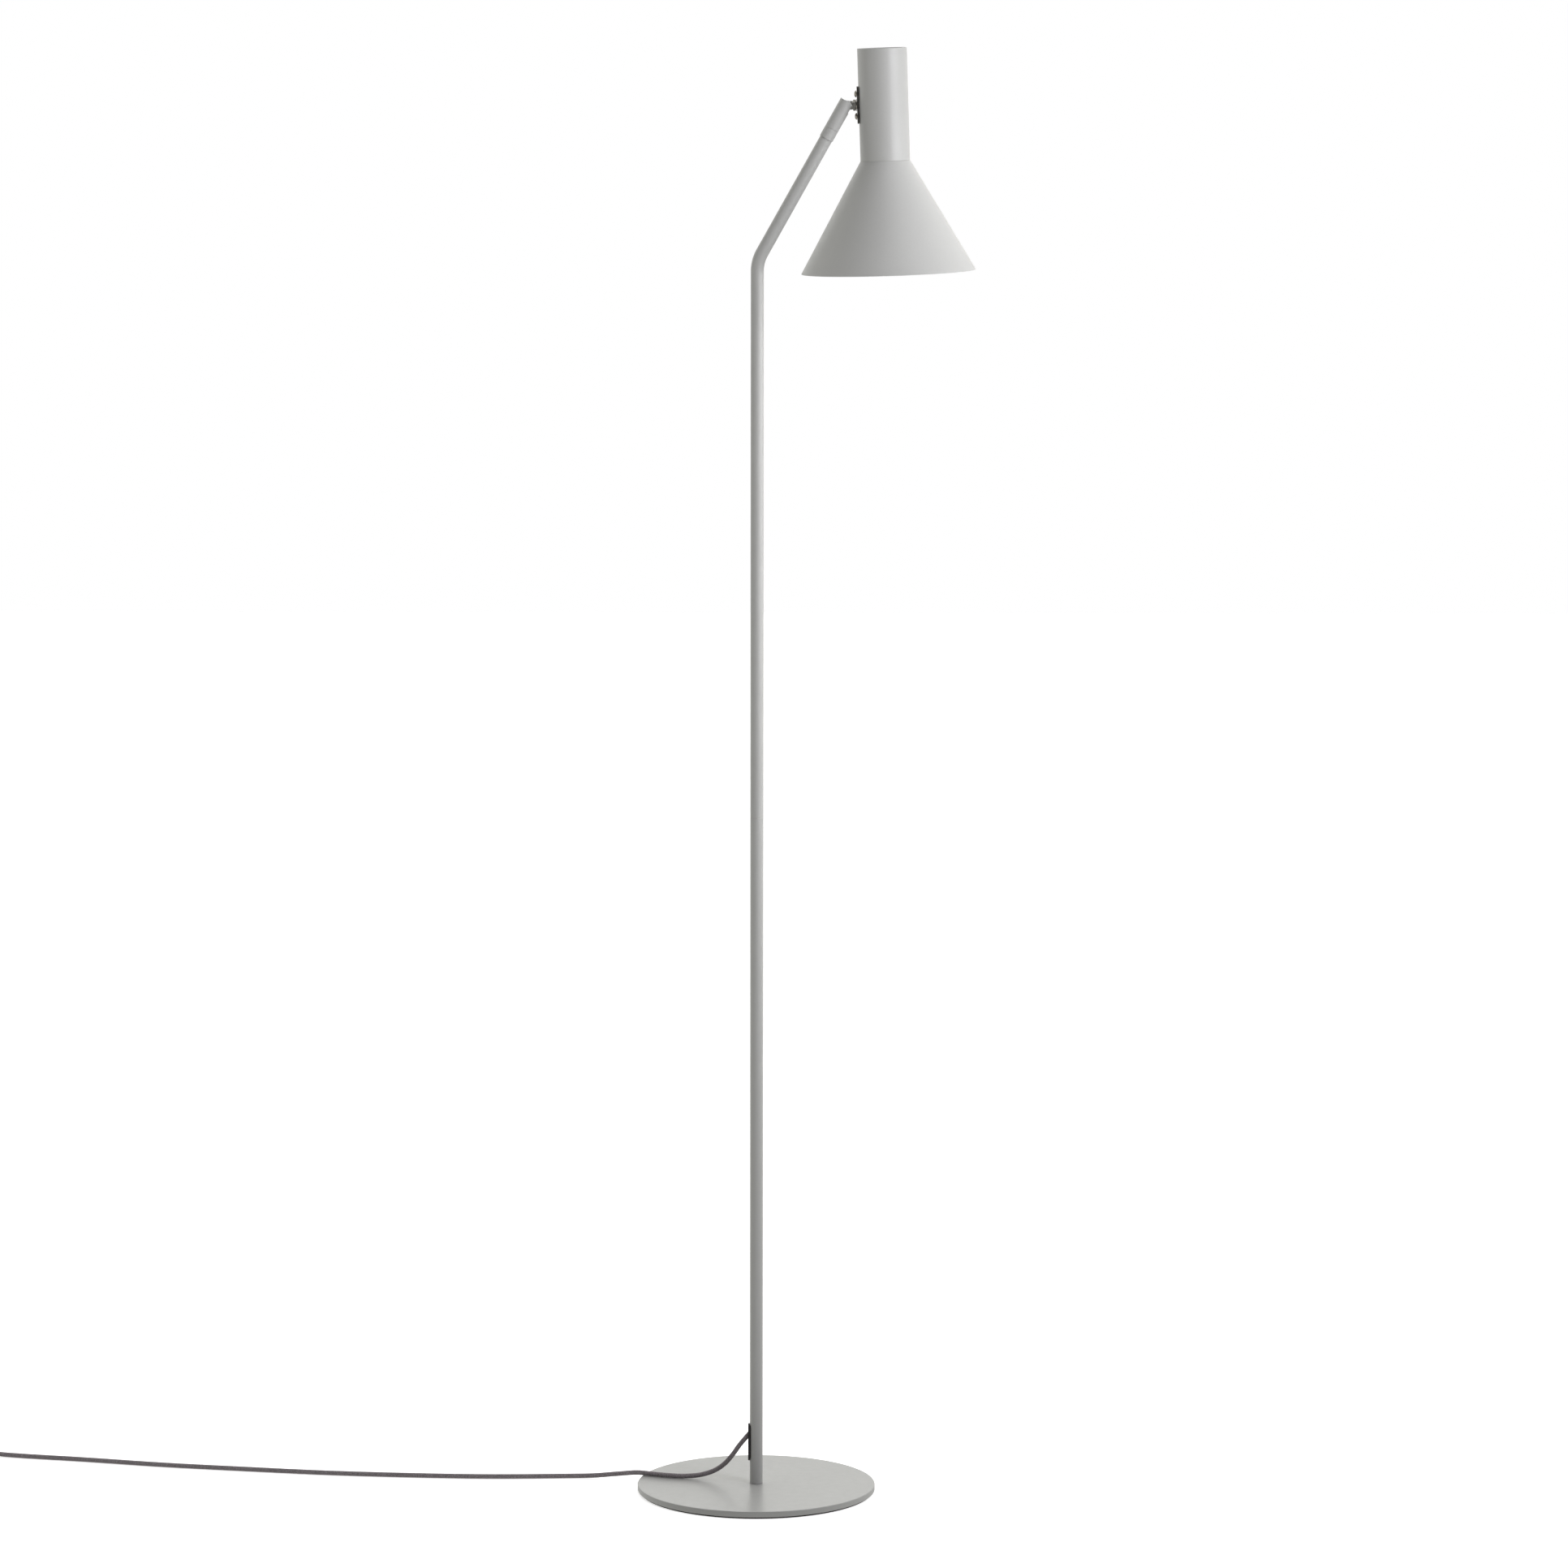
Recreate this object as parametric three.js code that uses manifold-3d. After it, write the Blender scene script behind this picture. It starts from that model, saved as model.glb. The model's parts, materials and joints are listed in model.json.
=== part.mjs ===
// Floor reading lamp: a disc base, a two-part pole with a bent neck, a swivelling and tilting
// knuckle, and a cylindrical head that carries a conical shade. Millimetres, +Z up. The origin
// is the centre of the pad's underside, the neck bends towards +X, and the cord leaves towards -X.
import * as THREE from 'three';
import { mergeVertices } from 'three/addons/utils/BufferGeometryUtils.js';
import Module from 'manifold-3d';

const wasm = await Module();
wasm.setup();

// ---- driving dimensions ------------------------------------------------------------------

const GAP = 0.3; // clearance between two pieces that touch
const SEAM = 0.1; // clearance where a joint shows only as a fine line

const pad = { radius: 122.5, top: 1.8 };
const base = { radius: 125, bottom: 2, top: 8, edge: 0.8 };
const counterbore = { radius: 12, top: 6 };

const tube = { radius: 6.75, bore: 4.5, chamfer: 0.35 };
const nipple = { radius: 5, bore: 3.5, socket: 5.3, depth: 12 }; // hollow M10 x 1
const seamHeight = 716.7; // where the lower and upper tubes meet

const neck = { vertex: 1294.4, angle: THREE.MathUtils.degToRad(29.3), bend: 38, end: 143.8 };
const collar = { radius: 7.35, from: 143.9, to: 155.4, bore: 4.3 };
const pivotAlong = 182.8; // from the neck's vertex to the tilt pivot, along the neck
const barrel = { radius: 7.35, from: 155.5, floor: 3.3, cavity: 5.6, slot: 3 };
const scoop = { x: -4.06, z: 16.64, radius: 11.8 }; // saddle cut, from the pivot
const ear = { radius: 6.9, slotFloor: -5.4, slotBack: -4.9 };

const headLean = THREE.MathUtils.degToRad(-1.9);
const head = { reach: 39.9, radius: 25.5, wall: 1.2, half: 57.5 };
const shade = { rim: 90, bottom: -171.5, wall: 1.2, hole: 20.3 };
const bracketScrew = { offset: 11.4, radius: 2, hole: 2.3 };
const stem = { radius: 4, collar: 4.4, bore: 2.3, hole: 4.3, end: 22 };
const plate = { from: 12.7, to: 14.3, width: 14, half: 19, corner: 2.5 };

const holder = { radius: 19.5, inner: 17.7, top: -19.9, split: -33, mouth: -66, shoulder: -57.5 };
const bulb = { tip: -42, capTop: -44, capEnd: -68, globeCentre: -120, radius: 30, capRadius: 13.1, wall: 1.5 };

const slot = { centre: 52.4, height: 37, width: 5.6 }; // cord opening in the lower tube
const grommet = { height: 40, width: 9, face: -8.6, back: -6.8, hole: 2.8 };
const cord = { radius: 2.5, sides: 8 };
const lead = { pole: 2.4, head: 1.8 };

const foot = { x: -906, y: 147.5, length: 60, width: 30, wall: 2, split: 9, top: 20, cordHeight: 8 };
const button = { radius: 10, flange: 11.5, top: 22.6 };
const relief = { length: 20, wide: 5.2, narrow: 3.3 };
const coil = { x: -960, y: 78, inner: 20.3, outer: 35.7, bottom: 0.9, top: 11.1 };
const plug = { x: -888, y: 50, z: 7, length: 36, width: 35, half: 6.8, relief: 25 };

// Route of the free cord where it isn't coiled, chosen by hand: down from the grommet, over the
// base, off its edge and along the floor to the foot switch.
const cordRun = [
  [-7.4, 0, 61.2], [-11, 0.1, 57], [-17.4, 0.9, 49], [-25.6, 3.6, 36.8], [-34.2, 8, 26.2],
  [-45, 12.8, 18], [-60, 16.6, 12.5], [-77.3, 18.4, 10.8], [-94.6, 22.2, 10.7], [-111.9, 29, 10.7],
  [-126, 35, 10.5], [-148, 43.5, 7], [-172, 49, 3.8], [-200, 51.2, 2.7], [-285, 48.5, 2.7],
  [-371.6, 53.7, 2.7], [-458.7, 63.8, 2.7], [-546.6, 80.1, 2.7], [-635.1, 98.3, 2.7],
  [-724.7, 122.1, 2.7], [-795, 138.8, 2.7], [-820, 143.8, 3.6], [-838, 146.5, 6.2],
  [-848, 147.4, 7.8], [-855.3, 147.5, 8],
];
// From the switch round to the coil, and from the coil to the plug.
const cordBend = [
  [-956.6, 147.5, 8], [-962, 147.4, 7.8], [-971.3, 145.5, 6.8], [-981.2, 139.8, 5.6],
  [-988.6, 131, 4.6], [-992.5, 120.2, 4], [-993, 108, 3.6], [-993, 96.9, 3.5],
];
const cordTail = [[-934.4, 50, 8.5], [-929, 50, 8.4], [-920, 50, 7.4], [-913.4, 50, 7.1]];

// ---- materials ---------------------------------------------------------------------------

const satinGrey = () => new THREE.MeshStandardMaterial({ color: 0xb9b8b4, roughness: 0.5, metalness: 0.1 });
const zinc = () => new THREE.MeshStandardMaterial({ color: 0x9c9890, roughness: 0.35, metalness: 0.9 });
const blackSteel = () => new THREE.MeshStandardMaterial({ color: 0x3a3836, roughness: 0.5, metalness: 0.6 });
const brass = () => new THREE.MeshStandardMaterial({ color: 0xb89a56, roughness: 0.3, metalness: 1 });
const rubber = () => new THREE.MeshStandardMaterial({ color: 0x1b1a1a, roughness: 0.85, metalness: 0 });
const textile = () => new THREE.MeshStandardMaterial({ color: 0x5f5a62, roughness: 0.9, metalness: 0 });
const blackPlastic = () => new THREE.MeshStandardMaterial({ color: 0x222122, roughness: 0.5, metalness: 0 });
const whitePlastic = () => new THREE.MeshStandardMaterial({ color: 0xe8e6e0, roughness: 0.4, metalness: 0 });
const opal = () => new THREE.MeshStandardMaterial({ color: 0xf6f4ee, roughness: 0.3, metalness: 0 });

// ---- solids ------------------------------------------------------------------------------

// The geometry as one closed shell: shared corners merged, slivers dropped, faces outwards.
function closed(geometry) {
  geometry.deleteAttribute('normal');
  geometry.deleteAttribute('uv');
  const merged = mergeVertices(geometry);
  const corner = (i) => new THREE.Vector3().fromBufferAttribute(merged.attributes.position, i);
  const index = [];
  let volume = 0;
  for (let i = 0; i < merged.index.count; i += 3) {
    const [a, b, c] = [0, 1, 2].map((k) => merged.index.getX(i + k));
    if (a === b || b === c || c === a) continue;
    index.push(a, b, c);
    volume += corner(a).dot(corner(b).cross(corner(c)));
  }
  if (volume < 0) index.reverse();
  merged.setIndex(index);
  return merged;
}

function manifoldOf(geometry) {
  const shell = closed(geometry);
  const vertProperties = new Float32Array(shell.attributes.position.array);
  const triVerts = new Uint32Array(shell.index.array);
  return new wasm.Manifold(new wasm.Mesh({ numProp: 3, vertProperties, triVerts }));
}

function geometryOf(manifold) {
  const mesh = manifold.getMesh();
  const geometry = new THREE.BufferGeometry();
  geometry.setAttribute('position', new THREE.BufferAttribute(new Float32Array(mesh.vertProperties), 3));
  geometry.setIndex(Array.from(mesh.triVerts));
  return geometry;
}

const cut = (body, ...tools) =>
  geometryOf(tools.reduce((rest, tool) => rest.subtract(manifoldOf(tool)), manifoldOf(body)));
const join = (body, ...more) =>
  geometryOf(more.reduce((sum, other) => sum.add(manifoldOf(other)), manifoldOf(body)));
const common = (body, other) => geometryOf(manifoldOf(body).intersect(manifoldOf(other)));

// A turned solid about Z from [radius, z] corners. A profile off the axis closes on itself.
function turned(profile, segments = 16) {
  const corners = profile[0][0] > 0 ? [...profile, profile[0]] : profile;
  const points = corners.map(([r, z]) => new THREE.Vector2(r, z));
  return new THREE.LatheGeometry(points, segments).rotateX(Math.PI / 2);
}

const rod = (radius, from, to, segments) =>
  turned([[0, from], [radius, from], [radius, to], [0, to]], segments);
const ring = (inner, outer, from, to, segments) =>
  turned([[inner, from], [outer, from], [outer, to], [inner, to]], segments);
const alongX = (geometry) => geometry.rotateY(Math.PI / 2);
const alongY = (geometry) => geometry.rotateX(-Math.PI / 2);

function block([x0, x1], [y0, y1], [z0, z1]) {
  const box = new THREE.BoxGeometry(x1 - x0, y1 - y0, z1 - z0);
  return box.translate((x0 + x1) / 2, (y0 + y1) / 2, (z0 + z1) / 2);
}

function roundedRectangle(width, height, radius) {
  const [x, y] = [width / 2 - radius, height / 2 - radius];
  const shape = new THREE.Shape();
  shape.absarc(x, y, radius, 0, Math.PI / 2);
  shape.absarc(-x, y, radius, Math.PI / 2, Math.PI);
  shape.absarc(-x, -y, radius, Math.PI, 1.5 * Math.PI);
  shape.absarc(x, -y, radius, 1.5 * Math.PI, 2 * Math.PI);
  return shape.closePath();
}

function prism(shape, from, to, curveSegments = 3) {
  const options = { depth: to - from, bevelEnabled: false, curveSegments };
  return new THREE.ExtrudeGeometry(shape, options).translate(0, 0, from);
}

// Turns a prism so that its outline's x and y lie along Y and Z, and its depth along X.
const facingX = (geometry) =>
  geometry.applyMatrix4(new THREE.Matrix4().makeBasis(
    new THREE.Vector3(0, 1, 0), new THREE.Vector3(0, 0, 1), new THREE.Vector3(1, 0, 0)));

// A hexagon nut about Z with two corners on the X axis.
function nut(acrossFlats, hole, from, to) {
  const radius = acrossFlats / Math.sqrt(3);
  const shape = new THREE.Shape();
  for (let side = 0; side < 6; side += 1) {
    const angle = (side * Math.PI) / 3;
    shape[side ? 'lineTo' : 'moveTo'](radius * Math.cos(angle), radius * Math.sin(angle));
  }
  shape.closePath();
  shape.holes.push(new THREE.Path().absarc(0, 0, hole, 0, 2 * Math.PI, true));
  return prism(shape, from, to, 10);
}

// A path that puts one section on each of its stations, so straight stretches take none between.
class Stations extends THREE.Curve {
  constructor(points) {
    super();
    this.points = points;
  }

  getPointAt(u, target = new THREE.Vector3()) {
    return target.copy(this.points[Math.round(u * (this.points.length - 1))]);
  }

  getTangentAt(u, target = new THREE.Vector3()) {
    const last = this.points.length - 1;
    const i = Math.round(u * last);
    const [before, after] = [Math.max(i - 1, 0), Math.min(i + 1, last)];
    return target.subVectors(this.points[after], this.points[before]).normalize();
  }
}

function swept(points, radius, sides, bore = 0) {
  const shape = new THREE.Shape();
  shape.absarc(0, 0, radius, 0, 2 * Math.PI);
  if (bore) shape.holes.push(new THREE.Path().absarc(0, 0, bore, 0, 2 * Math.PI, true));
  const extrudePath = new Stations(points);
  const options = { steps: points.length - 1, bevelEnabled: false, curveSegments: sides / 2, extrudePath };
  return new THREE.ExtrudeGeometry(shape, options);
}

const vectors = (points) => points.map((p) => new THREE.Vector3(...p));

// A cord tube on a smooth curve through the route's points, with a section every 14 mm or so.
function cordTube(route) {
  const curve = new THREE.CatmullRomCurve3(vectors(route), false, 'centripetal');
  const steps = Math.max(4, Math.round(curve.getLength() / 14));
  return swept(curve.getSpacedPoints(steps), cord.radius, cord.sides);
}

// ---- the tree of groups ------------------------------------------------------------------

const lamp = new THREE.Group();
const neckGroup = new THREE.Group(); // z along the neck from the bend's vertex
neckGroup.position.set(0, 0, neck.vertex);
neckGroup.rotation.y = neck.angle;
const knuckleGroup = new THREE.Group(); // the same axes, from the tilt pivot
knuckleGroup.position.z = pivotAlong;
neckGroup.add(knuckleGroup);
const headGroup = new THREE.Group(); // z along the head's axis, x from the pivot to that axis
headGroup.position.set(
  pivotAlong * Math.sin(neck.angle), 0, neck.vertex + pivotAlong * Math.cos(neck.angle));
headGroup.rotation.y = headLean;
const axisGroup = new THREE.Group(); // the head's own axis
axisGroup.position.x = head.reach;
headGroup.add(axisGroup);
const footGroup = new THREE.Group(); // the switch on the cord, x along the cord
footGroup.position.set(foot.x, foot.y, 0);
const plugGroup = new THREE.Group(); // x towards the pins
plugGroup.position.set(plug.x, plug.y, plug.z);
lamp.add(neckGroup, headGroup, footGroup, plugGroup);

function piece(name, geometry, material, group = lamp) {
  const mesh = new THREE.Mesh(closed(geometry), material);
  mesh.name = name;
  group.add(mesh);
  return mesh;
}

// ---- base and pole -----------------------------------------------------------------------

function addBase() {
  piece('base_pad', rod(pad.radius, 0, pad.top, 48), rubber());
  piece('base_plate', turned([
    [nipple.socket, counterbore.top], [counterbore.radius, counterbore.top],
    [counterbore.radius, base.bottom], [base.radius - base.edge / 2, base.bottom],
    [base.radius, base.bottom + base.edge / 2], [base.radius, base.top - base.edge],
    [base.radius - base.edge, base.top], [nipple.socket, base.top],
  ], 48), satinGrey());
  piece('foot_nipple', ring(nipple.bore, nipple.radius, 2.3, base.top + nipple.depth - 0.5), zinc());
  piece('foot_washer', ring(nipple.socket, 10.5, 4.8, counterbore.top - GAP), zinc());
  piece('foot_nut', nut(17, nipple.socket, 2.3, 4.5), zinc());
}

// A straight tube's profile with an M10 socket in each end and fine chamfers on its rims.
function tubeProfile(from, to) {
  const { radius, bore, chamfer } = tube;
  return [
    [nipple.socket, from], [radius - chamfer, from], [radius, from + chamfer],
    [radius, to - chamfer], [radius - chamfer, to], [nipple.socket, to],
    [nipple.socket, to - nipple.depth], [bore, to - nipple.depth],
    [bore, from + nipple.depth], [nipple.socket, from + nipple.depth],
  ];
}

function addPole() {
  const opening = facingX(prism(roundedRectangle(slot.width, slot.height, slot.width / 2 - 0.01), -10, 0))
    .translate(0, 0, slot.centre);
  piece('lower_tube', cut(turned(tubeProfile(base.top + SEAM, seamHeight - SEAM / 2), 20), opening),
    satinGrey());
  piece('mid_nipple', ring(nipple.bore, nipple.radius, seamHeight - 11.5, seamHeight + 11.5), zinc());

  const bottom = seamHeight + SEAM / 2;
  const centre = bentAxis(bottom, neck.end);
  const socketLow = rod(nipple.socket, bottom - 5, bottom + nipple.depth);
  const socketHigh = rod(nipple.socket, neck.end - nipple.depth, neck.end + 5)
    .rotateY(neck.angle).translate(0, 0, neck.vertex);
  piece('upper_tube', cut(swept(centre, tube.radius, 20, tube.bore), socketLow, socketHigh), satinGrey());
}

// Stations from a height on the pole, round the bend, to a distance along the neck.
function bentAxis(from, along) {
  const tangent = neck.bend * Math.tan(neck.angle / 2);
  const points = [new THREE.Vector3(0, 0, from)];
  const steps = 6;
  for (let i = 0; i <= steps; i += 1) {
    const turn = (neck.angle * i) / steps;
    points.push(new THREE.Vector3(
      neck.bend * (1 - Math.cos(turn)), 0, neck.vertex - tangent + neck.bend * Math.sin(turn)));
  }
  points.push(new THREE.Vector3(
    along * Math.sin(neck.angle), 0, neck.vertex + along * Math.cos(neck.angle)));
  return points;
}

// The flat oval grommet sits on the tube's left side; the cord passes it on a slant.
function addGrommet() {
  const { width, height, face, back } = grommet;
  const outline = roundedRectangle(width, height, width / 2 - 0.01);
  const flange = facingX(prism(outline, face, back)).translate(0, 0, slot.centre);
  const stopper = roundedRectangle(slot.width - 0.6, slot.height - 0.6, slot.width / 2 - 0.32);
  const plugBody = facingX(prism(stopper, -7.6, -4.9)).translate(0, 0, slot.centre);
  const [start, next] = vectors(cordRun.slice(0, 2));
  const slant = Math.atan2(start.x - next.x, start.z - next.z);
  const passage = rod(grommet.hole, -9, 9, 14).rotateY(slant).translate(start.x, 0, start.z);
  piece('cord_grommet', cut(join(flange, plugBody), passage), rubber());
}

function addPoleLead() {
  const inside = vectors([[-7.15, 0, 61.5], [-5, 0, 64], [-2.6, 0, 67.4], [-0.9, 0, 72], [-0.2, 0, 80]]);
  piece('pole_lead', swept([...inside, ...bentAxis(110, pivotAlong - 24)], lead.pole, 8), textile());
}

// ---- neck and knuckle --------------------------------------------------------------------

function addNeck() {
  const step = 151;
  piece('neck_nipple', ring(nipple.bore, nipple.radius, neck.end - 11.5, step - GAP), zinc(), neckGroup);
  piece('neck_collar', turned([
    [nipple.socket, collar.from], [collar.radius - 0.4, collar.from],
    [collar.radius, collar.from + 0.4], [collar.radius, collar.to - 0.4],
    [collar.radius - 0.4, collar.to], [collar.bore, collar.to],
    [collar.bore, step], [nipple.socket, step],
  ]), satinGrey(), neckGroup);
  const headUnder = barrel.from + barrel.floor + GAP;
  piece('swivel_bolt', turned([
    [2.9, step + GAP], [4, step + GAP], [4, headUnder], [5.2, headUnder],
    [5.2, headUnder + 2.6], [2.9, headUnder + 2.6],
  ]), zinc(), neckGroup);
}

function addKnuckle() {
  const low = barrel.from - pivotAlong;
  const body = turned([
    [collar.bore, low], [barrel.radius - 0.4, low], [barrel.radius, low + 0.4],
    [barrel.radius, 8], [barrel.cavity, 8], [barrel.cavity, low + barrel.floor],
    [collar.bore, low + barrel.floor],
  ], 24);
  // Above the cavity the barrel is solid apart from the tongue's slot.
  const solidTop = rod(barrel.radius - 0.01, ear.slotFloor - 2, 7.9, 24);
  const saddle = alongY(rod(scoop.radius, -10, 10, 48)).translate(scoop.x, 0, scoop.z);
  const tongueSlot = block([ear.slotBack, 10], [-barrel.slot, barrel.slot], [ear.slotFloor, 12]);
  const wireWell = rod(3.4, ear.slotFloor - 4, 0);
  const earCorner = cut(block([0, 10], [-10, 10], [0, 10]), alongY(rod(ear.radius, -11, 11, 32)));
  const screwHole = alongY(rod(1.7, -5.6, 9, 12));
  const screwSeat = alongY(rod(3.1, 5.9, 9));
  piece('knuckle_barrel',
    cut(join(body, solidTop), saddle, tongueSlot, wireWell, earCorner, screwHole, screwSeat),
    satinGrey(), knuckleGroup);
  for (const [side, sign] of [['near', -1], ['far', 1]]) {
    const washer = alongY(ring(1.8, 3.9, 2.35, 2.85)).scale(1, sign, 1);
    piece(`friction_washer_${side}`, washer, zinc(), knuckleGroup);
  }
  const screw = turned([[0, -5.3], [1.5, -5.3], [1.5, 6.2], [2.8, 6.2], [2.8, 7], [0, 7]]);
  const driverSlot = block([-3, 3], [-0.4, 0.4], [6.6, 8]);
  piece('pivot_screw', alongY(cut(screw, driverSlot)), zinc(), knuckleGroup);
}

// ---- head: stem and bracket --------------------------------------------------------------

function addStem() {
  const eye = alongY(rod(stem.collar, -2.2, 2.2, 20));
  const bar = block([0, 7.6], [-2.2, 2.2], [-stem.collar, stem.collar]);
  const shank = alongX(turned([
    [0, 7.3], [stem.collar, 7.3], [stem.collar, 8.3], [stem.radius, 8.3],
    [stem.radius, stem.end], [0, stem.end],
  ]));
  const bore = alongX(rod(stem.bore, 5, stem.end + 1));
  const wireSlot = block([5, 7], [-1.4, 1.4], [-6, 0]);
  const pivotHole = alongY(rod(1.8, -4, 4, 12));
  piece('knuckle_tongue', cut(join(eye, bar, shank), bore, wireSlot, pivotHole), zinc(), headGroup);
  piece('stem_nut', alongX(nut(10, stem.hole, 8.4, 11.6)), zinc(), headGroup);
  piece('stem_washer', alongX(ring(stem.hole, 6.3, 11.8, 12.4)), zinc(), headGroup);
  piece('stem_inner_nut', alongX(nut(11, stem.hole, 18.6, 21.4)), zinc(), headGroup);
}

// The clearance holes that the stem and the two screws need through a wall of the head.
const wallHoles = () => [
  alongX(rod(stem.hole, 5, 25)),
  ...[-1, 1].map((side) => alongX(rod(bracketScrew.hole, 5, 25, 12))
    .translate(0, 0, side * bracketScrew.offset)),
];

// A strap rolled to a radius about the head's axis, on the side that faces the knuckle.
function strap(inner, outer, width, from, to) {
  const outline = roundedRectangle(width, to - from, 2.5);
  const plateBlank = facingX(prism(outline, 0, 30)).translate(0, 0, (from + to) / 2);
  return common(plateBlank, ring(inner, outer, from - 5, to + 5, 72).translate(head.reach, 0, 0));
}

function addBracket() {
  const outline = roundedRectangle(plate.width, 2 * plate.half, plate.corner);
  const blank = facingX(prism(outline, plate.from, plate.to));
  piece('bracket_plate', cut(blank, ...wallHoles()), blackSteel(), headGroup);
  for (const [name, side] of [['lower', -1], ['upper', 1]]) {
    const screw = turned([
      [0, 10.05], [2, 10.2], [3.2, 11], [3.6, 12], [3.6, 12.4],
      [bracketScrew.radius, 12.4], [bracketScrew.radius, 19.6], [0, 19.6],
    ]);
    const recess = [0, 1].map((turn) => block([-1.6, 1.6], [-0.35, 0.35], [9, 11])
      .rotateZ((turn * Math.PI) / 2));
    piece(`bracket_screw_${name}`,
      alongX(cut(screw, ...recess)).translate(0, 0, side * bracketScrew.offset), zinc(), headGroup);
  }
  const inner = head.radius - head.wall - GAP;
  const [legTop, legBottom] = [-18, -19.6];
  const legOutline = roundedRectangle(33, 16, 7.9);
  const leg = prism(legOutline, legBottom, legTop).translate(head.reach - 6, 0, 0);
  const upright = strap(inner - 1.6, inner, 14, legBottom, 17);
  const nippleHole = rod(nipple.socket, -25, -10).translate(head.reach, 0, 0);
  piece('holder_bracket', cut(join(upright, leg), ...wallHoles(), nippleHole), zinc(), headGroup);
  piece('holder_nipple', ring(nipple.bore, nipple.radius, -25, -12), zinc(), axisGroup);
  piece('holder_nut', nut(14, nipple.socket, legTop + GAP, legTop + GAP + 2.8), zinc(), axisGroup);
}

// ---- head: casing and shade --------------------------------------------------------------

function addCasing() {
  const { radius, wall, half } = head;
  const casing = turned([
    [radius - wall, -half], [radius, -half], [radius, half - GAP],
    [radius - GAP, half], [radius - wall, half],
  ], 40);
  piece('head_tube', cut(casing.translate(head.reach, 0, 0), ...wallHoles()), satinGrey(), headGroup);

  const capRadius = radius - wall - GAP;
  const cap = turned([
    [0, 52.6], [capRadius - 1.2, 52.6], [capRadius - 1.2, 45], [capRadius, 45],
    [capRadius, 54], [0, 54],
  ], 32);
  const vents = [];
  for (let i = 0; i < 6; i += 1) {
    vents.push(prism(roundedRectangle(9, 2.6, 1.28), 50, 56, 1).translate(13.5, 0, 0)
      .rotateZ((i * Math.PI) / 3));
  }
  piece('top_cap', cut(cap, ...vents), satinGrey(), axisGroup);
}

function addShade() {
  const top = -head.half - SEAM;
  const slope = (shade.rim - head.radius) / (top - shade.bottom);
  const across = shade.wall * Math.hypot(1, slope); // the wall measured horizontally
  const flangeUnder = top - shade.wall;
  piece('shade_cone', turned([
    [shade.hole, top], [head.radius, top], [shade.rim, shade.bottom],
    [shade.rim - across, shade.bottom],
    [head.radius + slope * shade.wall - across, flangeUnder], [shade.hole, flangeUnder],
  ], 48), satinGrey(), axisGroup);
  const ringTop = flangeUnder - GAP;
  piece('shade_ring', ring(holder.radius + GAP, 23.5, ringTop - 5, ringTop, 24), blackPlastic(), axisGroup);
}

function addLampholder() {
  const { radius, inner, top, split, mouth, shoulder } = holder;
  piece('lampholder_cap', turned([
    [nipple.socket, top], [13, top], [17.6, top - 2.2], [radius, top - 6], [radius, split],
    [inner, split], [inner, top - 6.8], [12.4, top - 2.2], [nipple.socket, top - 2.2],
  ], 20), blackPlastic(), axisGroup);
  piece('lampholder_skirt', turned([
    [inner, split - GAP], [radius, split - GAP], [radius, shoulder + 3], [22, shoulder + 3],
    [22, shoulder], [radius, shoulder], [radius, mouth], [15.2, mouth], [15.2, mouth + 2],
    [inner, mouth + 4],
  ], 20), blackPlastic(), axisGroup);
  piece('lampholder_core', rod(inner - GAP, -40, -30, 20), whitePlastic(), axisGroup);
  piece('lampholder_shell', ring(13.4, 13.9, -61.5, -40.3, 20), brass(), axisGroup);
  piece('lampholder_contact', rod(4, -41.7, -40.3, 16), brass(), axisGroup);
}

function addHeadLead() {
  const bend = 12.9;
  const points = [new THREE.Vector3(8.8, 0, 0)];
  for (let i = 0; i <= 6; i += 1) {
    const turn = (i * Math.PI) / 12;
    points.push(new THREE.Vector3(
      head.reach - bend + bend * Math.sin(turn), 0, bend * (Math.cos(turn) - 1)));
  }
  points.push(new THREE.Vector3(head.reach, 0, -29.6));
  piece('head_lead', swept(points, lead.head, 8), textile(), headGroup);
}

// The bulb's pieces are thin shells, open where they meet.
function addBulb() {
  const { tip, capTop, capEnd, globeCentre, radius, capRadius, wall } = bulb;
  piece('bulb_contact', turned([[0, tip], [2.5, tip], [4.5, capTop + GAP], [0, capTop + GAP]]),
    zinc(), axisGroup);
  piece('bulb_cap', turned([
    [0, capTop], [5.2, capTop], [12.2, capTop - 4], [capRadius, capTop - 5], [capRadius, capEnd],
    [capRadius - 0.8, capEnd], [capRadius - 0.8, capTop - 5.5], [5, capTop - 1], [0, capTop - 1],
  ], 20), zinc(), axisGroup);
  const waist = globeCentre + 7; // where the housing meets the opal dome
  const waistRadius = Math.sqrt(radius ** 2 - 49);
  piece('bulb_housing', turned([
    [12, capEnd - GAP], [13.8, capEnd - GAP], [15.5, -80], [20.5, -95], [26.5, -106],
    [waistRadius, waist], [waistRadius - wall, waist], [26.5 - wall, -107], [20.5 - wall, -96],
    [14, -80],
  ], 24), whitePlastic(), axisGroup);
  const steps = 7;
  const start = Math.asin((waist - GAP - globeCentre) / radius);
  const arc = (r) => Array.from({ length: steps + 1 }, (_, i) => {
    const angle = start - ((start + Math.PI / 2) * i) / steps;
    return [i === steps ? 0 : r * Math.cos(angle), globeCentre + r * Math.sin(angle)];
  });
  piece('bulb_globe', turned([...arc(radius).reverse(), ...arc(radius - wall)], 24), opal(), axisGroup);
}

// ---- cord, foot switch and plug ----------------------------------------------------------

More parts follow.
